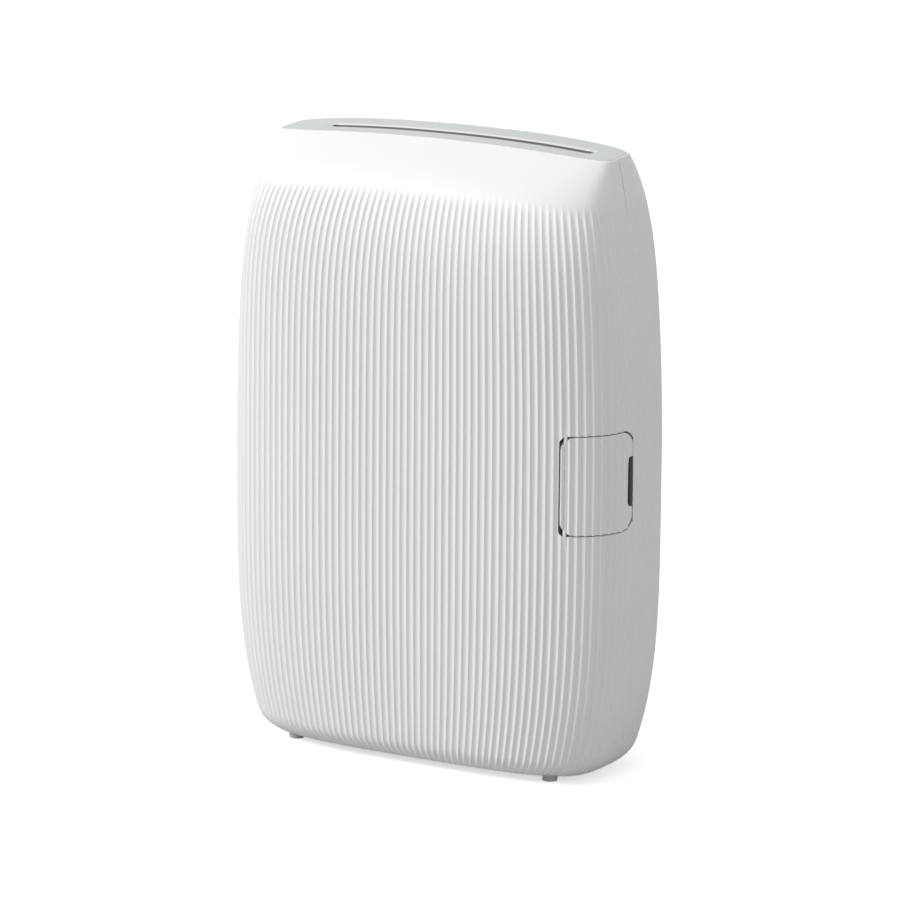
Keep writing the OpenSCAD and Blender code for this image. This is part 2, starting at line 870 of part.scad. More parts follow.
module port_cover() {
    color("white")
    difference() {
        union() {
            intersection() {
                half_shell(-1, cover_t);
                cover_prism(0, cover_corner_r);
            }
            cover_axis(cover_pin_low_z + cover_corner_r, cover_pin_high_z - cover_corner_r,
                cover_barrel_r);
        }
        cover_axis(cover_pin_low_z - 1, cover_pin_high_z + 1, cover_pin_r + fit_gap);
        cover_frame()
            translate([-cover_w / 2, cover_w / 2, cover_z])
                rotate([90, 0, 90])
                    linear_extrude(height = cover_w)
                        rounded_rect(2 * notch_d, notch_h, notch_d - 0.05);
    }
}

module port_cover_pin() {
    color("silver")
    cover_axis(cover_pin_low_z - cover_pin_hold, cover_pin_high_z + cover_pin_hold, cover_pin_r);
}

bezel_low_z = cover_z - bezel_h / 2;
bezel_high_z = cover_z + bezel_h / 2;
bezel_edge = bezel_w / 2;

module port_bezel() {
    inner = bezel_edge - bezel_wall;
    color("gray")
    difference() {
        intersection() {
            corner_core(wall_t + 0.03);
            cover_block([socket_rear_u, -bezel_edge, bezel_low_z], [cover_t, bezel_edge, bezel_high_z]);
        }
        cover_block([-bezel_depth, -inner, bezel_low_z + bezel_wall + 1],
            [far, inner, bezel_high_z - bezel_wall - 1]);
        cover_block([socket_rear_u - 1, -inner, bezel_low_z + bezel_wall],
            [-bezel_depth - bezel_t, inner, bezel_high_z - bezel_wall]);
        cover_block([cover_pin_u - cover_barrel_r - 0.8, -bezel_edge - 1, cover_low_z - cover_gap],
            [far, -inner + 1, cover_high_z + cover_gap]);
        cover_frame()
            translate([-bezel_depth - 2 * bezel_t, socket_v, socket_z])
                rotate([90, 0, 90])
                    linear_extrude(height = 3 * bezel_t)
                        rounded_rect(socket_d + 0.1, socket_w + 0.1, socket_d / 2 - 0.05);
        cover_frame()
            translate([-bezel_depth - 2 * bezel_t, socket_v, reset_z])
                rotate([0, 90, 0])
                    cylinder(h = 3 * bezel_t, r = reset_r);
    }
}

// The space inside the front shell's right corner, behind the port cover
module corner_core(thick) {
    n = 20;
    zs = [for (k = [0:6]) cover_z + (k - 3) * (bezel_h + 2) / 6];
    m = len(zs) - 1;
    t_low = 280;
    points = concat(
        [for (z = zs) for (i = [0:n]) skin(z, t_low + (360 - t_low) * i / n, thick)],
        [for (z = zs) [0, 0, z]]
    );
    function p(j, i) = j * (n + 1) + i;
    function c(j) = (m + 1) * (n + 1) + j;
    faces = concat(
        [for (j = [0:m - 1]) for (i = [0:n - 1]) [p(j, i), p(j + 1, i), p(j + 1, i + 1), p(j, i + 1)]],
        [for (j = [0:m - 1]) [p(j, n), p(j + 1, n), c(j + 1), c(j)]],
        [for (j = [0:m - 1]) [c(j), c(j + 1), p(j + 1, 0), p(j, 0)]],
        [concat([for (i = [0:n]) p(0, i)], [c(0)])],
        [concat([c(m)], [for (i = [n:-1:0]) p(m, i)])]
    );
    polyhedron(points = points, faces = faces, convexity = 4);
}

module charging_socket() {
    color("silver")
    cover_frame()
        translate([socket_rear_u, socket_v, socket_z])
            rotate([90, 0, 90])
                difference() {
                    linear_extrude(height = socket_l)
                        rounded_rect(socket_d, socket_w, socket_d / 2 - 0.05);
                    translate([0, 0, 1.2])
                        linear_extrude(height = far)
                            difference() {
                                rounded_rect(socket_d - 0.6, socket_w - 0.6, socket_d / 2 - 0.35);
                                square([0.7, socket_w - 2.2], center = true);
                            }
                }
}

module port_board() {
    color("darkgreen")
    cover_block([socket_rear_u - port_board_t, -bezel_edge + 0.4, bezel_low_z + 0.4],
        [socket_rear_u, bezel_edge - 0.4, bezel_high_z - 0.4]);
}

// ================= Power button =================

module power_button() {
    stem = button_board_w + switch_t + dome_t + button_travel + 0.1;
    flange = ring_low - 0.05 - button_travel;
    color("white")
    button_frame()
        rotate_extrude()
            polygon([
                [0, stem], [1.1, stem], [1.1, flange - button_flange_t],
                [ring_r - 0.1, flange - button_flange_t], [ring_r - 0.1, flange],
                [button_r, flange], [button_r, -button_inset - 0.4],
                [button_r - 0.4, -button_inset - 0.1], [0, -button_inset]
            ]);
}

module light_ring() {
    color("whitesmoke")
    button_frame()
        translate([0, 0, ring_low])
            difference() {
                cylinder(h = -ring_low - button_inset - 0.15, r = ring_r);
                translate([0, 0, -1])
                    cylinder(h = 10, r = button_r + button_gap);
            }
}

module button_board() {
    color("darkgreen")
    button_frame() {
        translate([0, 0, button_board_w - button_board_t / 2])
            cube([12, 10.4, button_board_t], center = true);
        translate([0, 0, button_board_w + switch_t / 2])
            cube([3, 3, switch_t], center = true);
        translate([0, 0, button_board_w])
            cylinder(h = switch_t + dome_t, r = dome_r);
    }
}

// ================= Chassis and film feed =================

board_post_r = 1.8;
board_y = tab_front_y - battery_t - 2.6;
post_places = [[-24, 28], [24, 28], [24, 84]];
film_slit_w = 2;
claw_y = 0.9;
claw_w = 3.3;
claw_x = chassis_x + 0.4;
claw_t = 0.7;
claw_hook_z = chamber_low_z + 0.2;
claw_high_z = 51;
rivet_places = [36, 48];
rivet_y = claw_y + claw_w / 2;
rivet_r = 0.7;

module chassis() {
    color("dimgray")
    difference() {
        union() {
            block([-chassis_x, tab_front_y, chassis_low_z], [chassis_x, mouth_y, chassis_top_z]);
            translate([0, 0, (chassis_low_z + chassis_top_z) / 2])
                extrude_y(mouth_y - flange_t, mouth_y)
                    rounded_rect(2 * (chassis_x + flange_w),
                        chassis_top_z - chassis_low_z + 2 * flange_rise, 5);
            for (p = screw_places) {
                block([min(p[0], sign(p[0]) * chamber_x), tab_front_y, p[1] - 2.8],
                    [max(p[0], sign(p[0]) * chamber_x), tab_rear_y, p[1] + 2.8]);
                rod_y(tab_front_y, tab_rear_y, p[0], p[1], 2.8);
            }
            for (p = post_places) {
                rod_y(board_y, tab_front_y + 0.2, p[0], p[1], board_post_r);
            }
        }
        block([-chamber_x, chamber_y, chamber_low_z], [chamber_x, far, chamber_top_z]);
        block([-chamber_x + 3, chamber_y, chamber_low_z + 3],
            [chamber_x - 3, chamber_y + film_slit_w, far * 3]);
        for (p = screw_places) {
            rod_y(-far, far, p[0], p[1], screw_r + 0.1);
            rod_y(tab_rear_y + 0.2, far, p[0], p[1], screw_boss_r + 0.4);
        }
        for (p = post_places) {
            rod_y(board_y - 1, tab_front_y - 1, p[0], p[1], 0.7);
        }
        block([chamber_x - 1, claw_y - 0.2, claw_hook_z - 0.3],
            [far, claw_y + 1.5, claw_hook_z + 1 + claw_travel + 0.3]);
        for (z = rivet_places) {
            rod_x(chamber_x - 1, far, rivet_y, z, rivet_r);
        }
    }
}

bracket_low_z = chassis_top_z - 7;
bracket_high_z = roller_z + 4.1;
bracket_front_y = front_roller_y - 6.1;
bracket_rear_y = min(rear_roller_y + 3.6, mouth_y - flange_t - 0.2);
plate_front_y = pinion_y - 4;
plate_rear_y = tab_front_y - 0.3;
plate_low_z = pinion_z - 7;

module bracket_outline() {
    polygon([
        [bracket_front_y, bracket_low_z], [bracket_rear_y, bracket_low_z],
        [bracket_rear_y, bracket_high_z - 1.2], [bracket_rear_y - 1.2, bracket_high_z],
        [bracket_front_y + 1.9, bracket_high_z], [bracket_front_y, bracket_high_z - 1.9]
    ]);
}

module bush_holes() {
    for (y = [front_roller_y, rear_roller_y]) {
        translate([y, roller_z])
            circle(bush_r + 0.01);
    }
}

module left_bracket() {
    color("silver")
    extrude_x(-bracket_out_x, -bracket_x)
        difference() {
            union() {
                bracket_outline();
                polygon([
                    [plate_front_y, plate_low_z], [plate_rear_y, plate_low_z],
                    [plate_rear_y, bracket_low_z + overlap], [bracket_front_y, bracket_low_z + overlap],
                    [plate_front_y, bracket_low_z - 5]
                ]);
            }
            bush_holes();
            for (at = [feed_at, reduction_at]) {
                translate(at)
                    circle(post_r);
            }
            translate(pinion_at)
                circle(motor_boss_r + fit_gap);
        }
}

module right_bracket() {
    color("silver")
    extrude_x(bracket_x, bracket_out_x)
        difference() {
            bracket_outline();
            bush_holes();
        }
}

module roller_bushes() {
    color("goldenrod")
    for (x = [-bracket_out_x, bracket_x - 0.3]) {
        for (y = [front_roller_y, rear_roller_y]) {
            difference() {
                rod_x(x, x + bracket_t + 0.3, y, roller_z, bush_r);
                rod_x(x - 1, x + bracket_t + 1.3, y, roller_z, shaft_r + fit_gap);
            }
        }
    }
}

module roller_springs() {
    color("silver")
    for (s = [-1, 1]) {
        x = s * chamber_x - 0.6;
        block([x, rear_roller_y + shaft_r + 0.12, chassis_top_z],
            [x + 1.2, rear_roller_y + shaft_r + 0.5, roller_z + 2]);
    }
}

module roller(y) {
    rod_x(-roller_l / 2, roller_l / 2, y, roller_z, roller_r);
    rod_x(gear_x - 0.3, bracket_out_x + 0.3, y, roller_z, shaft_r);
}

module front_roller() {
    color("silver")
    roller(front_roller_y);
}

module rear_roller() {
    color("silver")
    roller(rear_roller_y);
}

module front_roller_gear() {
    color("white")
    gear(roller_teeth, front_roller_at, front_roller_phase, shaft_r + 0.01);
}

module rear_roller_gear() {
    color("white")
    gear(roller_teeth, rear_roller_at, rear_roller_phase, shaft_r + 0.01);
}

module feed_gear() {
    color("white")
    gear(feed_teeth, feed_at, feed_phase, post_r + fit_gap);
}

module reduction_gear() {
    color("white")
    gear(reduction_teeth, reduction_at, reduction_phase, post_r + fit_gap);
}

module gear_posts() {
    color("silver")
    for (at = [feed_at, reduction_at]) {
        rod_x(gear_x - 0.25, -bracket_x, at[0], at[1], post_r);
        rod_x(gear_x - 0.65, gear_x - 0.25, at[0], at[1], post_r + 0.7);
    }
}

module drive_motor() {
    color("silver")
    difference() {
        union() {
            rod_x(-bracket_x, -bracket_x + motor_l, pinion_y, pinion_z, motor_r);
            rod_x(-bracket_x - bracket_t + 0.2, -bracket_x, pinion_y, pinion_z, motor_boss_r);
            rod_x(-bracket_x + motor_l, -bracket_x + motor_l + 1.2, pinion_y, pinion_z, 1.5);
        }
        rod_x(-far, -bracket_x + 6, pinion_y, pinion_z, pinion_shaft_r + fit_gap);
    }
}

module motor_pinion() {
    color("goldenrod")
    union() {
        gear(pinion_teeth, pinion_at, pinion_phase, pinion_shaft_r - 0.2);
        rod_x(gear_x - 0.2, -bracket_x + 5.5, pinion_y, pinion_z, pinion_shaft_r);
    }
}

module film_claw() {
    color("silver")
    difference() {
        union() {
            block([claw_x, claw_y, claw_hook_z], [claw_x + claw_t, claw_y + claw_w, claw_high_z]);
            block([chamber_x - 1.2, claw_y, claw_hook_z],
                [claw_x + claw_t, claw_y + 1.3, claw_hook_z + 1]);
        }
        for (z = rivet_places) {
            for (dz = [0, claw_travel]) {
                rod_x(0, far, rivet_y, z - dz, rivet_r + 0.15);
            }
            block([0, rivet_y - rivet_r - 0.15, z - claw_travel],
                [far, rivet_y + rivet_r + 0.15, z]);
        }
    }
}

module claw_rivets() {
    color("silver")
    for (z = rivet_places) {
        rod_x(chamber_x + 0.1, claw_x + claw_t + 0.2, rivet_y, z, rivet_r);
        rod_x(claw_x + claw_t + 0.15, claw_x + claw_t + 0.6, rivet_y, z, 1.4);
    }
}

head_w = pack_w - 6;
head_d = 8.4;
head_low_z = 96;
head_high_z = roller_z - roller_r - 0.8;

module print_head() {
    color("black")
    difference() {
        block([-head_w / 2, tab_front_y - head_d, head_low_z], [head_w / 2, tab_front_y, head_high_z]);
        block([-head_w / 2 - 1, tab_front_y - head_d - 1, head_high_z - 2.5],
            [head_w / 2 + 1, tab_front_y - head_d + 3, far * 3]);
    }
}

module lens_bar() {
    color("lightblue")
    block([-head_w / 2 + 1, tab_front_y, chassis_top_z], [head_w / 2 - 1, chamber_y - 0.1, head_high_z]);
}

module head_ribbon() {
    y = tab_front_y - head_d + 1.2;
    low = 84.5;
    color("ivory")
    extrude_x(2, 18)
        polygon([
            [y, head_low_z], [y, low + 3], [board_y - 0.3 + 0.55, low + 1], [board_y + 0.55 - 0.3, low],
            [board_y + 0.02, low], [board_y + 0.02, low + 1.1],
            [y - 0.25, low + 3.1], [y - 0.25, head_low_z]
        ]);
}

// ================= Electronics =================

board_edge_x = 27;
board_low_z = 24;
board_high_z = 90;
board_step_z = pinion_z - motor_r - 5.2;
board_step_x = -8;

module main_board() {
    color("darkgreen")
    difference() {
        union() {
            block([-board_edge_x, board_y - board_t, board_low_z], [board_edge_x, board_y, board_step_z]);
            block([board_step_x, board_y - board_t, board_step_z - 1],
                [board_edge_x, board_y, board_high_z]);
        }
        for (p = post_places) {
            rod_y(-far, far, p[0], p[1], screw_r);
        }
    }
}

module board_parts() {
    front = board_y - board_t;
    color("silver") {
        block([-12, front - 1.8, 44], [4, front, 60]);
        block([9, front - 1, 38], [17, front, 46]);
        block([-21, front - 0.9, 33], [-14, front, 40]);
        block([8, front - 1.1, 54], [18, front, 62]);
        block([0, front - 1.4, 76], [16, front, 79]);
        block([-20, front - 2, 58], [-15, front, 64]);
        block([-6, front - 2, 27], [6, front, 30.5]);
    }
}

module board_screws() {
    color("silver")
    for (p = post_places) {
        difference() {
            union() {
                rod_y(board_y - board_t - 1, board_y - board_t, p[0], p[1], 1.6);
                rod_y(board_y - board_t, board_y + 3.5, p[0], p[1], 0.7);
            }
            translate([p[0], board_y - board_t - 1, p[1]])
                cube([1.9, 0.9, 0.4], center = true);
        }
    }
}

battery_x = 1;
battery_z = board_step_z - battery_h / 2;
pad_t = 1;

module battery() {
    color("silver")
    translate([battery_x, 0, battery_z])
        extrude_y(tab_front_y - pad_t - battery_t, tab_front_y - pad_t)
            rounded_rect(battery_w, battery_h, 1.5);
}

module battery_pad() {
    color("gray")
    block([battery_x - 15, tab_front_y - pad_t, battery_z - 14],
        [battery_x + 15, tab_front_y, battery_z + 14]);
}

front_shell();
rear_shell();
top_cap();
feet();
case_screws();
film_door();
door_hinge_pin();
door_latch();
latch_spring();
door_springs();
door_seal();
port_cover();
port_cover_pin();
port_bezel();
charging_socket();
port_board();
power_button();
light_ring();
button_board();
chassis();
left_bracket();
right_bracket();
roller_bushes();
roller_springs();
front_roller();
rear_roller();
front_roller_gear();
rear_roller_gear();
feed_gear();
reduction_gear();
gear_posts();
drive_motor();
motor_pinion();
film_claw();
claw_rivets();
print_head();
lens_bar();
head_ribbon();
main_board();
board_parts();
board_screws();
battery();
battery_pad();
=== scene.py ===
"""The looks of a compact photo printer in a fluted white case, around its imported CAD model."""

import logging
import math
from dataclasses import dataclass, field
from enum import Enum
from typing import Callable, Iterable, Sequence

import bmesh
import bpy
import numpy as np
from mathutils import Matrix, Vector


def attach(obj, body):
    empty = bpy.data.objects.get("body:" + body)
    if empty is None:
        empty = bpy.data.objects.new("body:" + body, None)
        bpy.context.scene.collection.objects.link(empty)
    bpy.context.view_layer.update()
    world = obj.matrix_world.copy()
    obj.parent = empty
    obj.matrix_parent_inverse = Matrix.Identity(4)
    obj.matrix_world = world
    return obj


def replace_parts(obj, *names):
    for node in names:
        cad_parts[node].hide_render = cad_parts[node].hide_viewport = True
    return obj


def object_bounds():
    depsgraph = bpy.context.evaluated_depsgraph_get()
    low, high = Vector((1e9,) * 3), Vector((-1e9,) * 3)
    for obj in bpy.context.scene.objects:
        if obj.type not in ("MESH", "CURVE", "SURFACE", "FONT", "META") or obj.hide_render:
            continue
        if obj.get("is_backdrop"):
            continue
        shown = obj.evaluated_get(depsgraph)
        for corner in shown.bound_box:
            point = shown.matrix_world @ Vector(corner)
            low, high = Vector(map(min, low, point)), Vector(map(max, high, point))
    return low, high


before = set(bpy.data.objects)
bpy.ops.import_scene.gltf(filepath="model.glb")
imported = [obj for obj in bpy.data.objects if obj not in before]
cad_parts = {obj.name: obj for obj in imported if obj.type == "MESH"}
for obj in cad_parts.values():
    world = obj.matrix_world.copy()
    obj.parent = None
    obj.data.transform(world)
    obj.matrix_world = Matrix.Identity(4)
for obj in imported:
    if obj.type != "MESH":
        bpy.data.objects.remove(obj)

log = logging.getLogger("photo_printer")
MM = 0.001

Colour = tuple[float, float, float]
Value = "float | Signal"
WHITE = (1.0, 1.0, 1.0, 1.0)


def linear(colour: Colour) -> tuple[float, float, float, float]:
    """Turn a colour as seen on a screen into the linear one that a shader takes.

    Args:
        colour: Red, green and blue from 0 to 1.

    Returns:
        The linear red, green and blue, with a full alpha.
    """
    made = [c / 12.92 if c <= 0.04045 else ((c + 0.055) / 1.055) ** 2.4 for c in colour]
    return (made[0], made[1], made[2], 1.0)


# ---------------------------------------------------------------- shader maths


class Signal:
    """An output socket on which plain arithmetic adds the nodes that work it out."""

    def __init__(self, bench: "Bench", socket: bpy.types.NodeSocket) -> None:
        """Wrap one output socket of a bench's node tree."""
        self.bench = bench
        self.socket = socket

    def _math(self, operation: str, *terms: Value) -> "Signal":
        """Add a Math node.

        Args:
            operation: The node's operation.
            terms: Its inputs in order.

        Returns:
            The node's result.
        """
        return self.bench.add("ShaderNodeMath", {"operation": operation}, dict(enumerate(terms)))

    def __add__(self, other: Value) -> "Signal":
        """Add a value."""
        return self._math("ADD", self, other)

    def __radd__(self, other: Value) -> "Signal":
        """Add to a value."""
        return self._math("ADD", other, self)

    def __sub__(self, other: Value) -> "Signal":
        """Take a value away."""
        return self._math("SUBTRACT", self, other)

    def __rsub__(self, other: Value) -> "Signal":
        """Take this away from a value."""
        return self._math("SUBTRACT", other, self)

    def __mul__(self, other: Value) -> "Signal":
        """Multiply by a value."""
        return self._math("MULTIPLY", self, other)

    def __rmul__(self, other: Value) -> "Signal":
        """Multiply a value by this."""
        return self._math("MULTIPLY", other, self)

    def __truediv__(self, other: Value) -> "Signal":
        """Divide by a value."""
        return self._math("DIVIDE", self, other)

    def __rtruediv__(self, other: Value) -> "Signal":
        """Divide a value by this."""
        return self._math("DIVIDE", other, self)

    def __gt__(self, other: Value) -> "Signal":
        """Give 1 where this is above a value, and else 0."""
        return self._math("GREATER_THAN", self, other)

    def __lt__(self, other: Value) -> "Signal":
        """Give 1 where this is below a value, and else 0."""
        return self._math("LESS_THAN", self, other)

    def wave(self, period: float) -> "Signal":
        """Give a sine of this, from -1 to 1, that repeats after a period."""
        return self._math("SINE", self * (2 * math.pi / period))

    def ramp(self, low: float, high: float) -> "Signal":
        """Ease from 0 at a low value to 1 at a high one.

        Args:
            low: Where the result is 0.
            high: Where the result is 1.

        Returns:
            The eased value, held between 0 and 1.
        """
        return self.bench.add(
            "ShaderNodeMapRange",
            {"interpolation_type": "SMOOTHSTEP"},
            {"Value": self, "From Min": low, "From Max": high},
        )


class Bench:
    """The node tree of one material or world, and the ways to add to it."""

    def __init__(self, name: str, world: bool = False) -> None:
        """Start an empty node tree for a new material, or a new world, of that name."""
        self.owner = (bpy.data.worlds if world else bpy.data.materials).new(name)
        self.owner.use_nodes = True
        self.tree = self.owner.node_tree
        self.tree.nodes.clear()

    def node(
        self,
        kind: str,
        settings: dict[str, object] | None = None,
        inputs: dict[int | str, object] | None = None,
    ) -> bpy.types.Node:
        """Add any node.

        Args:
            kind: The node's type.
            settings: Its own settings, which are made first.
            inputs: Values or signals for its sockets, by name or place.

        Returns:
            The node.
        """
        made = self.tree.nodes.new(kind)
        for key, value in (settings or {}).items():
            setattr(made, key, value)
        for key, value in (inputs or {}).items():
            if isinstance(value, Signal):
                self.tree.links.new(value.socket, made.inputs[key])
            else:
                made.inputs[key].default_value = value
        return made

    def add(
        self,
        kind: str,
        settings: dict[str, object] | None = None,
        inputs: dict[int | str, object] | None = None,
        output: int | str = 0,
    ) -> Signal:
        """Add any node, as node() does, and give the output that is wanted."""
        return Signal(self, self.node(kind, settings, inputs).outputs[output])

    def place(self) -> Signal:
        """Give the place on the piece, in metres in the piece's own frame."""
        return self.add("ShaderNodeTexCoord", output="Object")

    def axes(self, place: Signal) -> tuple[Signal, Signal, Signal]:
        """Split a place into its three coordinates."""
        parts = self.node("ShaderNodeSeparateXYZ", inputs={0: place}).outputs
        return Signal(self, parts[0]), Signal(self, parts[1]), Signal(self, parts[2])

    @staticmethod
    def within(value: Signal, middle: float, reach: float) -> Signal:
        """Give 1 where a value lies no further than reach from a middle, and else 0."""
        return (value > middle - reach) * (value < middle + reach)

    def stretched(self, place: Signal, scale: Colour) -> Signal:
        """Scale a place by its own amount along each axis."""
        return self.add(
            "ShaderNodeVectorMath", {"operation": "MULTIPLY"}, {0: place, 1: scale}
        )

    def noise(self, place: Signal, scale: float, detail: float = 2.0) -> Signal:
        """Give noise from 0 to 1 whose lumps are about 1/scale of a metre across."""
        return self.add("ShaderNodeTexNoise", None, {"Vector": place, "Scale": scale, "Detail": detail})

    def cells(self, place: Signal, scale: float) -> Signal:
        """Give the distance to the nearest of scattered points, scale of them to a metre."""
        return self.add("ShaderNodeTexVoronoi", None, {"Vector": place, "Scale": scale})

    def blend(self, mask: Value, low: object, high: object) -> Signal:
        """Mix two colours.

        Args:
            mask: 0 for the first colour and 1 for the second.
            low: The first colour, or a signal.
            high: The second colour, or a signal.

        Returns:
            The mixed colour.
        """
        pick = lambda c: c if isinstance(c, Signal) else linear(c)
        return self.add(
            "ShaderNodeMix", {"data_type": "RGBA"}, {0: mask, 6: pick(low), 7: pick(high)}, output=2
        )

    def bump(self, height: Signal, distance: float, strength: float = 1.0) -> Signal:
        """Turn a height into a normal.

        Args:
            height: The height, about 0 to 1.
            distance: What a height of 1 stands for, in metres.
            strength: How much of it shows.

        Returns:
            The bumped normal.
        """
        return self.add(
            "ShaderNodeBump", None, {"Height": height, "Distance": distance, "Strength": strength}
        )

    def skin(self, inputs: dict[int | str, object]) -> Signal:
        """Add the main shader with its inputs."""
        return self.add("ShaderNodeBsdfPrincipled", None, inputs)

    def seen(self) -> Signal:
        """Give 1 to the rays that show a thing, straight, mirrored or through glass, and else 0."""
        path = self.node("ShaderNodeLightPath").outputs
        straight, mirrored, through = (
            Signal(self, path[f"Is {kind} Ray"]) for kind in ("Camera", "Glossy", "Transmission")
        )
        return (straight + mirrored + through).ramp(0.0, 1.0)

    def finish(self, shader: Signal, output: str = "ShaderNodeOutputMaterial") -> bpy.types.ID:
        """Send a shader to the output.

        Args:
            shader: The shader.
            output: The type of the output node.

        Returns:
            The finished material or world.
        """
        self.node(output, None, {"Surface": shader})
        return self.owner


# -------------------------------------------------------------------- finishes


@dataclass(frozen=True)
class Finish:
    """A material's name, its slot in the record, its colour and its shine."""

    name: str
    slot: str
    colour: Colour
    roughness: float = 0.5

    def surface(self, bench: Bench) -> dict[int | str, object]:
        """Work out what the main shader takes.

        Args:
            bench: The material's node tree.

        Returns:
            The main shader's inputs.
        """
        return {"Base Color": linear(self.colour), "Roughness": self.roughness}

    def material(self) -> bpy.types.Material:
        """Make the material, or take the one already made."""
        known = bpy.data.materials.get(self.name)
        if known:
            return known
        bench = Bench(self.name)
        return bench.finish(bench.skin(self.surface(bench)))

    def shifted(self, amount: float) -> Colour:
        """Give the colour made lighter or darker by an amount."""
        return tuple(min(1.0, max(0.0, c + amount)) for c in self.colour)


@dataclass(frozen=True)
class MouldedPlastic(Finish):
    """Moulded plastic with a fine spark-eroded grain and a faint drift of tone."""

    grain: float = 0.00022
    grain_depth: float = 0.0000035
    drift: float = 0.006
    sheen_drift: float = 0.05
    glow: float = 0.0

    def surface(self, bench: Bench) -> dict[int | str, object]:
        """Add the grain, the drift of tone and the drift of shine."""
        place = bench.place()
        slow = bench.noise(place, 45.0, 1.0)
        fine = bench.noise(place, 1 / self.grain, 2.0)
        coarse = bench.noise(place, 0.4 / self.grain, 1.0)
        inputs: dict[int | str, object] = {
            "Base Color": bench.blend(slow, self.shifted(-self.drift), self.shifted(self.drift)),
            "Roughness": self.roughness + (coarse - 0.5) * self.sheen_drift,
            "Normal": bench.bump(fine * 0.7 + coarse * 0.3, self.grain_depth),
        }
        if self.glow:
            inputs["Subsurface Weight"] = self.glow
            inputs["Subsurface Radius"] = (0.0012, 0.0012, 0.001)
        return inputs


@dataclass(frozen=True)
class NotchShadedPlastic(MouldedPlastic):
    """The same plastic with painted shade, a darker colour, on the wall that shows through the finger
    notch.
    """

    # Colour of the painted shade on the notch's wall, standing in for the shade in the recess.
    painted_notch_shade: Colour = (0.62, 0.64, 0.645)
    wall: Colour = (-0.54, -0.84, 0.0)
    from_x: float = 0.0425
    low_z: float = 0.048
    high_z: float = 0.074

    def surface(self, bench: Bench) -> dict[int | str, object]:
        """Paint shade onto the faces of that wall."""
        inputs = super().surface(bench)
        x, _, z = bench.axes(bench.place())
        facing = bench.add("ShaderNodeNewGeometry", output="True Normal")
        dot = {"operation": "DOT_PRODUCT"}
        along = bench.add("ShaderNodeVectorMath", dot, {0: facing, 1: self.wall}, 1)
        # The mask picks the notch wall, where the painted shade goes.
        mask = (along > 0.93) * (x > self.from_x) * (z > self.low_z) * (z < self.high_z)
        inputs["Base Color"] = bench.blend(mask, inputs["Base Color"], self.painted_notch_shade)
        return inputs


@dataclass(frozen=True)
class SlotShadedPlastic(MouldedPlastic):
    """The cap's plastic, with painted shade on the walls of the outlet slot and a painted highlight on
    the lip behind it.
    """

    # Colour of the painted shade on the slot's walls.
    painted_slot_shade: Colour = (0.54, 0.55, 0.553)
    middle: tuple[float, float] = (0.0022, 0.001)
    reach: tuple[float, float] = (0.0302, 0.0008)
    # lip: the colour of the painted highlight on the lip behind the slot.
    lip: Colour = (0.91, 0.915, 0.92)
    lip_highlight_y: float = 0.00198
    lip_highlight_reach: float = 0.00028

    def surface(self, bench: Bench) -> dict[int | str, object]:
        """Paint shade on the upright faces inside the slot, and a painted highlight on the lip's upper
        face.
        """
        inputs = super().surface(bench)
        x, y, _ = bench.axes(bench.place())
        facing = bench.add("ShaderNodeNewGeometry", output="True Normal")
        _, _, upward = bench.axes(facing)
        along = bench.within(x, self.middle[0], self.reach[0])
        inside = along * bench.within(y, self.middle[1], self.reach[1]) * (upward < 0.5)
        # The lip mask carries the painted highlight; the inside mask carries the painted shade of the
        # slot's walls.
        lip = along * bench.within(y, self.lip_highlight_y, self.lip_highlight_reach) * (upward > 0.5)
        light = bench.blend(lip, inputs["Base Color"], self.lip)
        inputs["Base Color"] = bench.blend(inside, light, self.painted_slot_shade)
        return inputs


@dataclass(frozen=True)
class SoftRubber(Finish):
    """Matt rubber with a dusty bloom."""

    def surface(self, bench: Bench) -> dict[int | str, object]:
        """Add the bloom and a soft grain."""
        place = bench.place()
        dust = bench.noise(place, 900.0, 4.0)
        return {
            "Base Color": bench.blend(dust.ramp(0.35, 0.75), self.colour, self.shifted(0.05)),
            "Roughness": 0.72 + dust * 0.2,
            "Normal": bench.bump(bench.noise(place, 5200.0, 3.0), 0.00001),
        }


@dataclass(frozen=True)
class WorkedMetal(Finish):
    """Metal with lines left by rolling, brushing or grinding along one axis."""

    lines: Colour = (60.0, 4200.0, 4200.0)
    line_depth: float = 0.000003
    stain: float = 0.04
    bluish: float = 0.0

    def surface(self, bench: Bench) -> dict[int | str, object]:
        """Add the lines and faint stains."""
        place = bench.place()
        streak = bench.noise(bench.stretched(place, self.lines), 1.0, 3.0)
        patch = bench.noise(place, 160.0, 3.0).ramp(0.3, 0.8)
        cool = (self.colour[0] - self.bluish, self.colour[1], self.colour[2] + self.bluish)
        base = bench.blend(patch, self.shifted(-self.stain), cool)
        return {
            "Base Color": base,
            "Metallic": 1.0,
            "Roughness": self.roughness + (streak - 0.5) * 0.18 + patch * 0.05,
            "Normal": bench.bump(streak, self.line_depth),
        }


@dataclass(frozen=True)
class SinteredBronze(Finish):
    """Pressed bronze powder: small dark pores in a warm oily metal."""

    def surface(self, bench: Bench) -> dict[int | str, object]:
        """Add the pores."""
        place = bench.place()
        pores = bench.cells(place, 3800.0).ramp(0.12, 0.4)
        return {
            "Base Color": bench.blend(pores, self.shifted(-0.28), self.colour),
            "Metallic": 1.0,
            "Roughness": 0.62 - pores * 0.22,
            "Normal": bench.bump(pores, 0.00002),
        }


@dataclass(frozen=True)
class CellFoam(Finish):
    """Closed-cell foam with its open surface cells."""

    def surface(self, bench: Bench) -> dict[int | str, object]:
        """Add the cells."""
        place = bench.place()
        cell = bench.cells(place, 2600.0)
        return {
            "Base Color": bench.blend(cell.ramp(0.0, 0.6), self.shifted(-0.04), self.shifted(0.07)),
            "Roughness": 0.95,
            "Normal": bench.bump(cell, 0.00008),
        }


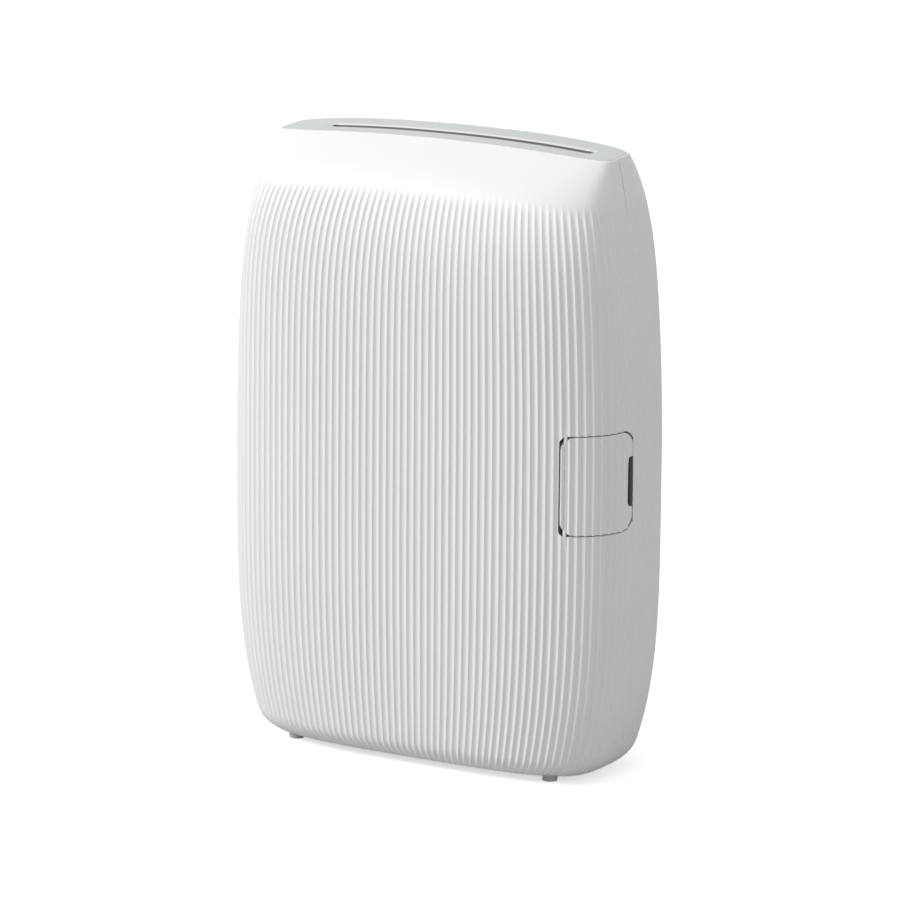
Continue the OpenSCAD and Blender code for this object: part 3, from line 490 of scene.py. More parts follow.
@dataclass(frozen=True)
class MilkyGuide(Finish):
    """Milky light guide with a smooth, slightly glassy face."""

    def surface(self, bench: Bench) -> dict[int | str, object]:
        """Add cloudiness and a light grain."""
        place = bench.place()
        cloud = bench.noise(place, 700.0, 2.0)
        return {
            "Base Color": bench.blend(cloud, self.shifted(-0.03), self.colour),
            "Roughness": 0.2 + cloud * 0.12,
            "Subsurface Weight": 0.35,
            "Subsurface Radius": (0.002, 0.002, 0.002),
            "Normal": bench.bump(cloud, 0.000004),
        }


@dataclass(frozen=True)
class SolderMask(Finish):
    """A printed circuit board: glossy mask over raised copper tracks, with bare pads."""

    pitch: float = 0.0019
    copper: Colour = (0.80, 0.66, 0.38)

    def surface(self, bench: Bench) -> dict[int | str, object]:
        """Add the tracks, the pads and the weave of the board."""
        place = bench.place()
        x, _, z = bench.axes(place)
        bend = bench.noise(place, 60.0, 0.0)
        upright = (x + bend * 0.004).wave(self.pitch).ramp(0.25, 0.6)
        level = (z + bend * 0.006).wave(self.pitch * 1.3).ramp(0.45, 0.7)
        patch = (bench.noise(place, 95.0, 0.0) > 0.5)
        track = upright * patch + level * (1 - patch)
        pad = bench.cells(place, 330.0) < 0.16
        masked = bench.blend(track, self.colour, self.shifted(0.09))
        return {
            "Base Color": bench.blend(pad, masked, self.copper),
            "Metallic": pad * 0.9,
            "Roughness": 0.26 + pad * 0.12 + bench.noise(place, 2500.0) * 0.08,
            "Normal": bench.bump(track + pad * 0.4, 0.00003),
        }


@dataclass(frozen=True)
class BoardParts(Finish):
    """Tinned shield cans among black chip packages."""

    chip: Colour = (0.055, 0.055, 0.06)

    def surface(self, bench: Bench) -> dict[int | str, object]:
        """Colour the parts right of the middle and low on the left as chips."""
        place = bench.place()
        x, _, z = bench.axes(place)
        right = (x > 0.006) * (z < 0.07)
        low_left = (x < -0.0128) * (z < 0.05)
        chip = (right + low_left).ramp(0.2, 0.8)
        streak = bench.noise(bench.stretched(place, (300.0, 300.0, 5000.0)), 1.0, 2.0)
        grain = bench.noise(place, 4200.0, 2.0)
        return {
            "Base Color": bench.blend(chip, self.colour, self.chip),
            "Metallic": 1 - chip,
            "Roughness": 0.3 + chip * 0.28 + streak * 0.12,
            "Normal": bench.bump(grain, 0.000006),
        }


@dataclass(frozen=True)
class LensGlass(Finish):
    """Clear ground bar of glass in front of the light source."""

    def surface(self, bench: Bench) -> dict[int | str, object]:
        """Let light through, with faint smears."""
        smear = bench.noise(bench.place(), 240.0, 3.0)
        return {
            "Base Color": linear(self.colour),
            "Roughness": 0.04 + smear * 0.06,
            "Transmission Weight": 0.85,
            "IOR": 1.5,
            "Normal": bench.bump(smear, 0.000002),
        }


@dataclass(frozen=True)
class FlatCable(Finish):
    """Amber film over parallel copper conductors."""

    pitch: float = 0.001

    def surface(self, bench: Bench) -> dict[int | str, object]:
        """Add the conductors under the film."""
        place = bench.place()
        x, _, _ = bench.axes(place)
        lane = x.wave(self.pitch).ramp(-0.2, 0.3)
        return {
            "Base Color": bench.blend(lane, self.colour, (0.86, 0.62, 0.30)),
            "Roughness": 0.22 + bench.noise(place, 900.0) * 0.1,
            "Metallic": lane * 0.35,
            "Normal": bench.bump(lane, 0.00004),
        }


@dataclass(frozen=True)
class BatteryFoil(Finish):
    """Laminated foil drawn over a cell: soft creases and a dull metallic face."""

    def surface(self, bench: Bench) -> dict[int | str, object]:
        """Add the creases."""
        place = bench.place()
        crease = bench.noise(bench.stretched(place, (120.0, 300.0, 90.0)), 1.0, 3.0)
        return {
            "Base Color": bench.blend(crease, self.shifted(-0.05), self.shifted(0.03)),
            "Metallic": 0.85,
            "Roughness": 0.38 + crease * 0.14,
            "Normal": bench.bump(crease, 0.00025, 0.6),
        }


WHITE_CASE = MouldedPlastic("white_case_plastic", "white_shell", (0.955, 0.957, 0.958), 0.42)
NOTCH_SHADED_CASE = NotchShadedPlastic("white_case_plastic_painted_notch_shade", "white_shell", (0.955, 0.957, 0.958), 0.42)
GREY_TRIM = MouldedPlastic(
    "pale_grey_trim_plastic", "pale_grey_trim", (0.80, 0.815, 0.82), 0.46, grain=0.00018
)
CAP_TRIM = SlotShadedPlastic(
    "pale_grey_cap_plastic_painted_slot_light", "pale_grey_trim", (0.80, 0.815, 0.82), 0.46, grain=0.00018
)
BEZEL_GREY = MouldedPlastic(
    "grey_bezel_plastic", "dark_grey_plastic", (0.52, 0.53, 0.535), 0.5, grain_depth=0.000006
)
BLACK_PLASTIC = MouldedPlastic(
    "black_chassis_plastic", "black_plastic", (0.075, 0.075, 0.08), 0.58, grain_depth=0.00001
)
ACETAL = MouldedPlastic(
    "natural_acetal", "natural_plastic", (0.90, 0.885, 0.84), 0.32, grain_depth=0.000002, glow=0.25
)
FOOT_RUBBER = SoftRubber("pale_foot_rubber", "soft_rubber", (0.80, 0.81, 0.81), 0.8)
ZINC_PLATE = WorkedMetal(
    "zinc_plated_steel", "plated_steel", (0.74, 0.745, 0.75), 0.3, stain=0.07, bluish=0.02
)
SATIN_STEEL = WorkedMetal("satin_pin_steel", "plated_steel", (0.81, 0.814, 0.818), 0.55, stain=0.02)
SPRING_STEEL = WorkedMetal(
    "rolled_spring_steel", "spring_steel", (0.66, 0.66, 0.665), 0.26, lines=(4200.0, 4200.0, 80.0)
)
GROUND_STEEL = WorkedMetal(
    "ground_roller_steel", "ground_steel", (0.83, 0.835, 0.84), 0.14, lines=(5200.0, 160.0, 160.0),
    line_depth=0.000001, stain=0.015,
)
BRONZE = SinteredBronze("sintered_bronze_metal", "sintered_bronze", (0.70, 0.52, 0.33), 0.5)
FOAM = CellFoam("black_cell_foam", "foam", (0.10, 0.10, 0.105), 0.95)
GUIDE = MilkyGuide("milky_light_guide", "light_guide", (0.93, 0.945, 0.945), 0.25)
BOARD = SolderMask("green_circuit_board", "circuit_board", (0.03, 0.23, 0.12), 0.3)
BOARD_PARTS = BoardParts("tinned_cans_and_chips", "shield_cans", (0.72, 0.72, 0.70), 0.32)
GLASS = LensGlass("lens_bar_glass", "lens_glass", (0.88, 0.94, 0.95), 0.05)
CABLE = FlatCable("amber_flat_cable", "flat_cable", (0.66, 0.36, 0.10), 0.25)
FOIL = BatteryFoil("battery_foil", "battery_pouch", (0.74, 0.75, 0.76), 0.4)


# ---------------------------------------------------------------- mesh helpers


class Cut(Enum):
    """What a cutting mesh does to the solid that it meets."""

    KEEP_INSIDE = "INTERSECT"
    REMOVE = "DIFFERENCE"


def mesh_from(name: str, points: np.ndarray, faces: Iterable[Sequence[int]]) -> bpy.types.Mesh:
    """Make a closed mesh from points in millimetres.

    Args:
        name: The mesh's name.
        points: One row for each point, in millimetres.
        faces: The places of each face's corners in points.

    Returns:
        The mesh, in metres, with its faces turned outwards.
    """
    mesh = bpy.data.meshes.new(name)
    mesh.from_pydata((np.asarray(points, float) * MM).tolist(), [], [list(f) for f in faces])
    shape = bmesh.new()
    shape.from_mesh(mesh)
    bmesh.ops.recalc_face_normals(shape, faces=shape.faces)
    if shape.calc_volume(signed=True) < 0:
        bmesh.ops.reverse_faces(shape, faces=shape.faces)
    shape.to_mesh(mesh)
    shape.free()
    return mesh


def ring_solid(name: str, rings: np.ndarray) -> bpy.types.Mesh:
    """Make a closed solid from a stack of closed rings.

    Args:
        name: The mesh's name.
        rings: Levels by points by three coordinates, in millimetres.

    Returns:
        The solid, closed by a fan at each end.
    """
    levels, count, _ = rings.shape
    points = np.concatenate([rings.reshape(-1, 3), rings[:1].mean(1), rings[-1:].mean(1)])
    here = np.arange(count)
    after = (here + 1) % count
    faces: list[Sequence[int]] = []
    for j in range(levels - 1):
        low, high = j * count, (j + 1) * count
        faces += np.stack([low + here, low + after, high + after, high + here], 1).tolist()
    bottom, top, last = levels * count, levels * count + 1, (levels - 1) * count
    faces += [(bottom, b, a) for a, b in zip(here, after)]
    faces += [(top, last + a, last + b) for a, b in zip(here, after)]
    return mesh_from(name, points, faces)


def cad_solid(node: str) -> bpy.types.Mesh:
    """Copy a CAD node's mesh as one closed solid, its corners joined."""
    shape = bmesh.new()
    shape.from_mesh(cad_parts[node].data)
    bmesh.ops.remove_doubles(shape, verts=shape.verts, dist=1e-7)
    mesh = bpy.data.meshes.new(node + "_blank")
    shape.to_mesh(mesh)
    shape.free()
    return mesh


def moved(mesh: bpy.types.Mesh, change: Callable[[np.ndarray], np.ndarray]) -> bpy.types.Mesh:
    """Move a mesh's points.

    Args:
        mesh: The mesh, which is changed.
        change: Takes the points and gives the new ones, in millimetres.

    Returns:
        The same mesh.
    """
    flat = np.empty(len(mesh.vertices) * 3)
    mesh.vertices.foreach_get("co", flat)
    made = change(flat.reshape(-1, 3) / MM) * MM
    mesh.vertices.foreach_set("co", np.ascontiguousarray(made, dtype=np.float32).ravel())
    mesh.update()
    return mesh


def cut(solid: bpy.types.Mesh, tool: bpy.types.Mesh, how: Cut) -> bpy.types.Mesh:
    """Cut one closed solid with another.

    Args:
        solid: The mesh that is cut, and given up.
        tool: The mesh that cuts it, and stays.
        how: Whether the inside or the outside of the tool is kept.

    Returns:
        The cut solid.
    """
    work = bpy.data.objects.new("work", solid)
    cutter = bpy.data.objects.new("cutter", tool)
    for thing in (work, cutter):
        bpy.context.scene.collection.objects.link(thing)
    step = work.modifiers.new("cut", "BOOLEAN")
    step.operation, step.solver, step.object = how.value, "MANIFOLD", cutter
    graph = bpy.context.evaluated_depsgraph_get()
    made = bpy.data.meshes.new_from_object(work.evaluated_get(graph))
    for thing in (work, cutter):
        bpy.data.objects.remove(thing)
    bpy.data.meshes.remove(solid)
    return made


def corner_angles(mesh: bpy.types.Mesh, vertex: np.ndarray, face: np.ndarray) -> np.ndarray:
    """Give the angle of each face corner, 0 where the face is a sliver.

    Args:
        mesh: The mesh.
        vertex: Each corner's vertex.
        face: Each corner's face.

    Returns:
        The angles, in radians.
    """
    count = len(mesh.polygons)
    start, total = np.empty(count, int), np.empty(count, int)
    area, flat = np.empty(count), np.empty(len(mesh.vertices) * 3)
    mesh.polygons.foreach_get("loop_start", start)
    mesh.polygons.foreach_get("loop_total", total)
    mesh.polygons.foreach_get("area", area)
    mesh.vertices.foreach_get("co", flat)
    place = flat.reshape(-1, 3)[vertex]
    here = np.arange(len(vertex)) - start[face]
    ahead = place[start[face] + (here + 1) % total[face]] - place
    behind = place[start[face] + (here - 1) % total[face]] - place
    span = np.linalg.norm(ahead, axis=1) * np.linalg.norm(behind, axis=1)
    cosine = np.einsum("ij,ij->i", ahead, behind) / np.maximum(span, 1e-18)
    return np.arccos(np.clip(cosine, -1, 1)) * np.clip(area[face] / 2e-9, 0, 1)


def shade(mesh: bpy.types.Mesh, sharp: float) -> None:
    """Smooth each corner over the faces there that lie within an angle of its own face.

    Args:
        mesh: The mesh, which is changed.
        sharp: The angle from which an edge stays sharp, in degrees.
    """
    count, corners = len(mesh.polygons), len(mesh.loops)
    flat, total, vertex = np.empty(count * 3), np.empty(count, int), np.empty(corners, int)
    mesh.polygons.foreach_get("normal", flat)
    mesh.polygons.foreach_get("loop_total", total)
    mesh.loops.foreach_get("vertex_index", vertex)
    normal = flat.reshape(-1, 3)
    face = np.repeat(np.arange(count), total)
    weight = corner_angles(mesh, vertex, face)
    sharing = np.bincount(vertex, minlength=len(mesh.vertices))
    first = np.cumsum(sharing) - sharing
    by_vertex = np.argsort(vertex, kind="stable")
    repeats = sharing[vertex]
    own = np.repeat(np.arange(corners), repeats)
    step = np.arange(len(own)) - np.repeat(np.cumsum(repeats) - repeats, repeats)
    other = by_vertex[first[vertex[own]] + step]
    alike = np.einsum("ij,ij->i", normal[face[own]], normal[face[other]])
    near = alike > math.cos(math.radians(sharp))
    share = weight[other] * near
    parts = [np.bincount(own, share * normal[face[other], k], corners) for k in range(3)]
    summed = np.stack(parts, 1)
    length = np.linalg.norm(summed, axis=1)[:, None]
    made = np.where(length > 1e-9, summed / np.maximum(length, 1e-9), normal[face])
    mesh.shade_smooth()
    mesh.normals_split_custom_set(made.tolist())


def show(
    name: str, mesh: bpy.types.Mesh, finish: Finish, body: str, sharp: float = 38.0
) -> bpy.types.Object:
    """Put a finished mesh on a CAD body as a piece of its own.

    Args:
        name: The piece's name.
        mesh: Its mesh, in metres.
        finish: What it is made of.
        body: The CAD body that it rides on.
        sharp: The angle from which an edge stays sharp, in degrees.

    Returns:
        The piece.
    """
    mesh.materials.clear()
    mesh.materials.append(finish.material())
    mesh.polygons.foreach_set("material_index", [0] * len(mesh.polygons))
    shade(mesh, sharp)
    mesh.name = name
    piece = bpy.data.objects.new(name, mesh)
    bpy.context.scene.collection.objects.link(piece)
    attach(piece, body)
    log.info("piece %s: %d faces, %s, rides on %s", name, len(mesh.polygons), finish.name, body)
    return piece


def dress(finish: Finish, *nodes: str) -> None:
    """Give kept CAD nodes their finish.

    Args:
        finish: What they are made of.
        nodes: The nodes' names.
    """
    for name in nodes:
        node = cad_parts[name]
        if not node.data.materials:
            node.data.materials.append(None)
        for slot in node.material_slots:
            slot.material = finish.material()
        log.info("CAD node %s: %s", name, finish.name)


# --------------------------------------------------------------------- casing


@dataclass
class CaseSkin:
    """The casing's outer surface: a superellipse that changes with height, in millimetres."""

    half_width: float = 45.0
    half_depth: float = 18.65
    height: float = 125.0
    base_z: float = 0.5
    waist_z: float = 61.0
    top_width_loss: float = 6.7
    base_width_loss: float = 6.9
    top_depth_loss: float = 11.9
    base_depth_loss: float = 1.35
    edge_height: float = 5.0
    edge_width: float = 5.0
    edge_depth: float = 7.9
    crown: float = 2.0
    crown_x: float = 40.0
    crown_from_z: float = 95.0
    slope: float = math.tan(math.radians(4.8))
    seam_reach: float = 0.02
    rim_height: float = 4.0

    def _up(self, z: np.ndarray) -> np.ndarray:
        """How far a height is from the waist to the top, 0 to 1."""
        return np.clip((z - self.waist_z) / (self.height - self.waist_z), 0, None)

    def _down(self, z: np.ndarray) -> np.ndarray:
        """How far a height is from the waist to the base, 0 to 1."""
        return np.clip((self.waist_z - z) / (self.waist_z - self.base_z), 0, None)

    def _edge(self, z: np.ndarray) -> np.ndarray:
        """The share of the bottom edge's rounding lost at a height."""
        k = np.clip(1 - (z - self.base_z) / self.edge_height, 0, 1)
        return 1 - np.sqrt(1 - k * k)

    def half_sizes(self, z: np.ndarray) -> tuple[np.ndarray, np.ndarray, np.ndarray]:
        """Give the outline's half width, half depth and middle at each height.

        Args:
            z: Heights, before the crown of the top is added.

        Returns:
            The half width, the half depth and the middle's place along Y.
        """
        up, down, edge = self._up(z), self._down(z), self._edge(z)
        wide = self.half_width - self.top_width_loss * up**2 - self.base_width_loss * down**4.1
        deep = self.half_depth - self.top_depth_loss * up**6.5 - self.base_depth_loss * down**3.5
        return wide - self.edge_width * edge, deep - self.edge_depth * edge, 1.2 * up**6 + 0.5 * down**2

    def powers(self, z: np.ndarray) -> tuple[np.ndarray, np.ndarray]:
        """Give the superellipse's two powers, towards the sides and towards the faces."""
        up, down = self._up(z) ** 2, self._down(z) ** 2
        return 3 + 2 * up + 0.45 * down, 3.65 + 1.35 * up - 0.2 * down

    def lift(self, x: np.ndarray, y: np.ndarray, z: np.ndarray) -> np.ndarray:
        """How far the crowned, sloping top moves a point up."""
        weight = np.clip((z - self.crown_from_z) / (self.height - self.crown_from_z), 0, None) ** 2
        return weight * (y * self.slope - self.crown * (np.abs(x) / self.crown_x) ** 2.2)

    def ring(self, z: float, turn: np.ndarray, inset: float = 0.0) -> np.ndarray:
        """Give points of the outline at one height.

        Args:
            z: The height.
            turn: Angles round the outline, in radians.
            inset: How far the outline is moved in.

        Returns:
            One row of x, y and z for each angle.
        """
        level = np.array(float(z))
        wide, deep, middle = self.half_sizes(level)
        side, face = self.powers(level)
        c, s = np.cos(turn), np.sin(turn)
        x = (wide - inset) * np.sign(c) * np.abs(c) ** (2 / side)
        y = middle + (deep - inset) * np.sign(s) * np.abs(s) ** (2 / face)
        return np.stack([x, y, z + self.lift(x, y, level)], -1)

    def flat_z(self, p: np.ndarray) -> np.ndarray:
        """Give the height that points had before the crown of the top was added."""
        z = p[:, 2].copy()
        for _ in range(12):
            z = p[:, 2] - self.lift(p[:, 0], p[:, 1], z)
        return z

    def outside(self, p: np.ndarray) -> np.ndarray:
        """Give a number below 1 inside the skin and above 1 outside it, for each point."""
        z = self.flat_z(p)
        wide, deep, middle = self.half_sizes(z)
        side, face = self.powers(z)
        return (np.abs(p[:, 0]) / wide) ** side + (np.abs(p[:, 1] - middle) / deep) ** face

    def slope_at(self, p: np.ndarray, step: float = 0.01) -> np.ndarray:
        """Give how fast outside() rises along each axis, for each point."""
        return np.stack(
            [
                (self.outside(p + step * axis) - self.outside(p - step * axis)) / (2 * step)
                for axis in np.eye(3)
            ],
            1,
        )

    def swollen(
        self, p: np.ndarray, by: float, reach: float = 0.35, rim_reach: float = 0.2
    ) -> np.ndarray:
        """Push the points that lie on the skin outwards.

        Args:
            p: Points, in millimetres.
            by: How far they are pushed.
            reach: How far under the skin a point may be to count as on it.
            rim_reach: The same close to the top, where the cap's seat is near.

        Returns:
            The points, moved. Those on the seam stay in its plane.
        """
        slope = self.slope_at(p)
        slope[np.abs(p[:, 1]) < self.seam_reach, 1] = 0
        steep = np.maximum(np.linalg.norm(slope, axis=1), 1e-6)
        depth = (1 - self.outside(p)) / steep
        limit = np.where(p[:, 2] > self.height - self.rim_height, rim_reach, reach)
        on_skin = (depth < limit) & (depth > -1)
        return np.where(on_skin[:, None], p + by * slope / steep[:, None], p)


@dataclass
class Flutes:
    """The upright flutes round the casing: hollows with narrow rounded crests."""

    count: int = 140
    first: float = 1.398
    depth: float = 0.38
    crest: float = 0.18
    fade_from: float = 8.3
    fade_to: float = 12.5
    base_fade: float = 1.6
    pin: tuple[float, float] = (35.7587, -14.5669)
    pin_z: tuple[float, float] = (48.5, 73.5)
    pin_cover: float = 0.66
    pin_bulge: float = 0.15
    stations: tuple[float, ...] = (0.0, 0.045, 0.1, 0.24, 0.5, 0.76, 0.9, 0.955)
    tangent_step: float = 0.05

    def profile(self) -> np.ndarray:
        """Give the depth at each station of a flute, from 0 at the crest to 1 in the hollow."""
        u = np.abs(2 * np.array(self.stations) - 1)
        w = self.crest
        hollow = 1 - u**2 - w
        rounded = (1 - w) / w * (1 - u) ** 2
        return np.where(u < 1 - w, hollow, rounded) / (1 - w)

    def strength(self, skin: CaseSkin, z: float) -> float:
        """Give the share of the full depth that the flutes have at a height.

        Args:
            skin: The casing's surface.
            z: The height.

        Returns:
            0 in the plain band under the cap, rising to 1 below it.
        """
        top = np.clip((skin.height - self.fade_from - z) / (self.fade_to - self.fade_from), 0, 1)
        base = np.clip((z - skin.base_z) / self.base_fade, 0, 1)
        return float(top * top * (3 - 2 * top) * (0.25 + 0.75 * base))

    def places(self) -> tuple[np.ndarray, np.ndarray]:
        """Give each point's place round the casing, 0 to 1, and its share of the depth."""
        steps = np.add.outer(np.arange(self.count), np.array(self.stations)).ravel()
        order = ((steps + self.first) / self.count) % 1
        return order, np.tile(self.profile(), self.count)

    def clear_of_pin(self, outline: np.ndarray, depth: np.ndarray, z: float) -> np.ndarray:
        """Keep the hollows off the port cover's pin.

        Args:
            outline: Points of the plain outline.
            depth: How deep the flutes would be at each.
            z: The height.

        Returns:
            How deep the flutes may be at each point, below 0 where the skin bulges over the pin.
        """
        if not self.pin_z[0] < z < self.pin_z[1]:
            return depth
        room = np.linalg.norm(outline[:, :2] - np.array(self.pin), axis=1) - self.pin_cover
        return np.minimum(depth, np.maximum(room, -self.pin_bulge))

    def ring(self, skin: CaseSkin, z: float, inset: float = 0.0) -> np.ndarray:
        """Give the fluted outline at one height.

        Args:
            skin: The casing's surface.
            z: The height.
            inset: How far the whole outline is moved in.

        Returns:
            One row of x, y and z for each point, in order round the casing.
        """
        dense = skin.ring(z, np.linspace(0, 2 * np.pi, 9001), inset)
        along = np.concatenate([[0], np.cumsum(np.linalg.norm(np.diff(dense, axis=0), axis=1))])
        place, share = self.places()
        round_about = along[-1]

        def point(shift: float) -> np.ndarray:
            """Give the outline's points, each moved a little along it."""
            at = (place * round_about + shift) % round_about
            return np.stack([np.interp(at, along, dense[:, k]) for k in range(3)], 1)

        tangent = (point(self.tangent_step) - point(-self.tangent_step))[:, :2]
        tangent /= np.linalg.norm(tangent, axis=1)[:, None]
        outward = np.stack([tangent[:, 1], -tangent[:, 0]], 1)
        made = point(0.0)
        depth = self.clear_of_pin(made, share * self.depth * self.strength(skin, z), z)
        made[:, :2] -= outward * depth[:, None]
        return made


@dataclass
class Casing:
    """The fluted casing: front shell, rear shell, film door and port cover."""

    skin: CaseSkin = field(default_factory=CaseSkin)
    flutes: Flutes = field(default_factory=Flutes)
    swell: float = 0.6
    rim_round: float = 0.2
    seam_gap: float = 0.09
    seam_depth: float = 0.32

    def levels(self) -> list[float]:
        """Give the heights of the fluted blank's rings."""
        skin = self.skin
        turn = np.linspace(0.04, np.pi / 2, 15)
        low = skin.base_z + skin.edge_height * (1 - np.cos(turn))
        fade_low = skin.height - self.flutes.fade_to - 0.5
        fade_high = skin.height - self.flutes.fade_from + 0.5
        middle = np.linspace(low[-1], fade_low, 40)[1:]
        fading = np.linspace(fade_low, fade_high, 13)[1:]
        plain = np.linspace(fade_high, skin.height - 0.4, 8)[1:]
        return [skin.base_z + 0.002, *low, *middle, *fading, *plain]

    def blank(self) -> bpy.types.Mesh:
        """Make the solid that trims each CAD piece to the fluted surface."""
        rings = [self.flutes.ring(self.skin, z) for z in self.levels()]
        top, r = self.skin.height, self.rim_round
        for k in range(1, 6):
            turn = math.radians(18 * k)
            z, inset = top - r + r * math.sin(turn), r * (1 - math.cos(turn))
            rings.append(self.flutes.ring(self.skin, z, inset))
        rings.append(rings[-1] + np.array([0, 0, 4.0]))
        rings[0][:, 2] = self.skin.base_z + 0.004
        return ring_solid("fluted_blank", np.array(rings))

    def seam_tool(self) -> bpy.types.Mesh:
        """Make the thin band that parts the two shells along the seam plane."""
        upright = np.linspace(self.skin.height + 1, 6, 90)
        z = np.concatenate([upright, np.linspace(5.9, self.skin.base_z, 40)])
        wide, deep, middle = self.skin.half_sizes(np.minimum(z, self.skin.height))
        side, face = self.skin.powers(np.minimum(z, self.skin.height))
        x = wide * (1 - np.abs(middle / deep) ** face) ** (1 / side)
        z = z + self.skin.lift(x, np.zeros_like(x), z)
        right = np.stack([x, z], 1)
        path = np.concatenate([right, right[::-1] * [-1, 1]])
        ahead = np.gradient(path, axis=0)
        ahead /= np.linalg.norm(ahead, axis=1)[:, None]
        outward = np.stack([-ahead[:, 1], ahead[:, 0]], 1)
        inner, outer = path - outward * self.seam_depth, path + outward * 1.5
        band = np.stack([inner, outer, outer, inner], 1)
        ys = np.array([-1, -1, 1, 1]) * self.seam_gap
        rings = np.stack([band[..., 0], np.broadcast_to(ys, band.shape[:2]), band[..., 1]], -1)
        return ring_solid("seam_tool", rings)

    def trimmed(self, node: str, blank: bpy.types.Mesh) -> bpy.types.Mesh:
        """Trim a CAD node to the fluted surface.

        Args:
            node: The node's name.
            blank: The fluted blank.

        Returns:
            The node's shape with a fluted outside.
        """
        solid = moved(cad_solid(node), lambda p: self.skin.swollen(p, self.swell))
        return cut(solid, blank, Cut.KEEP_INSIDE)

    def build(self) -> None:
        """Make the four fluted pieces."""
        blank, seam = self.blank(), self.seam_tool()
        for node, body, finish in (
            ("front_shell", "case", NOTCH_SHADED_CASE),
            ("rear_shell", "case", WHITE_CASE),
            ("film_door", "door", WHITE_CASE),
            ("port_cover", "cover", WHITE_CASE),
        ):
            solid = self.trimmed(node, blank)
            if body == "case":
                solid = cut(solid, seam, Cut.REMOVE)
            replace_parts(show("fluted_" + node, solid, finish, body), node)
        bpy.data.meshes.remove(blank)
        bpy.data.meshes.remove(seam)


# ------------------------------------------------------------------------ cap


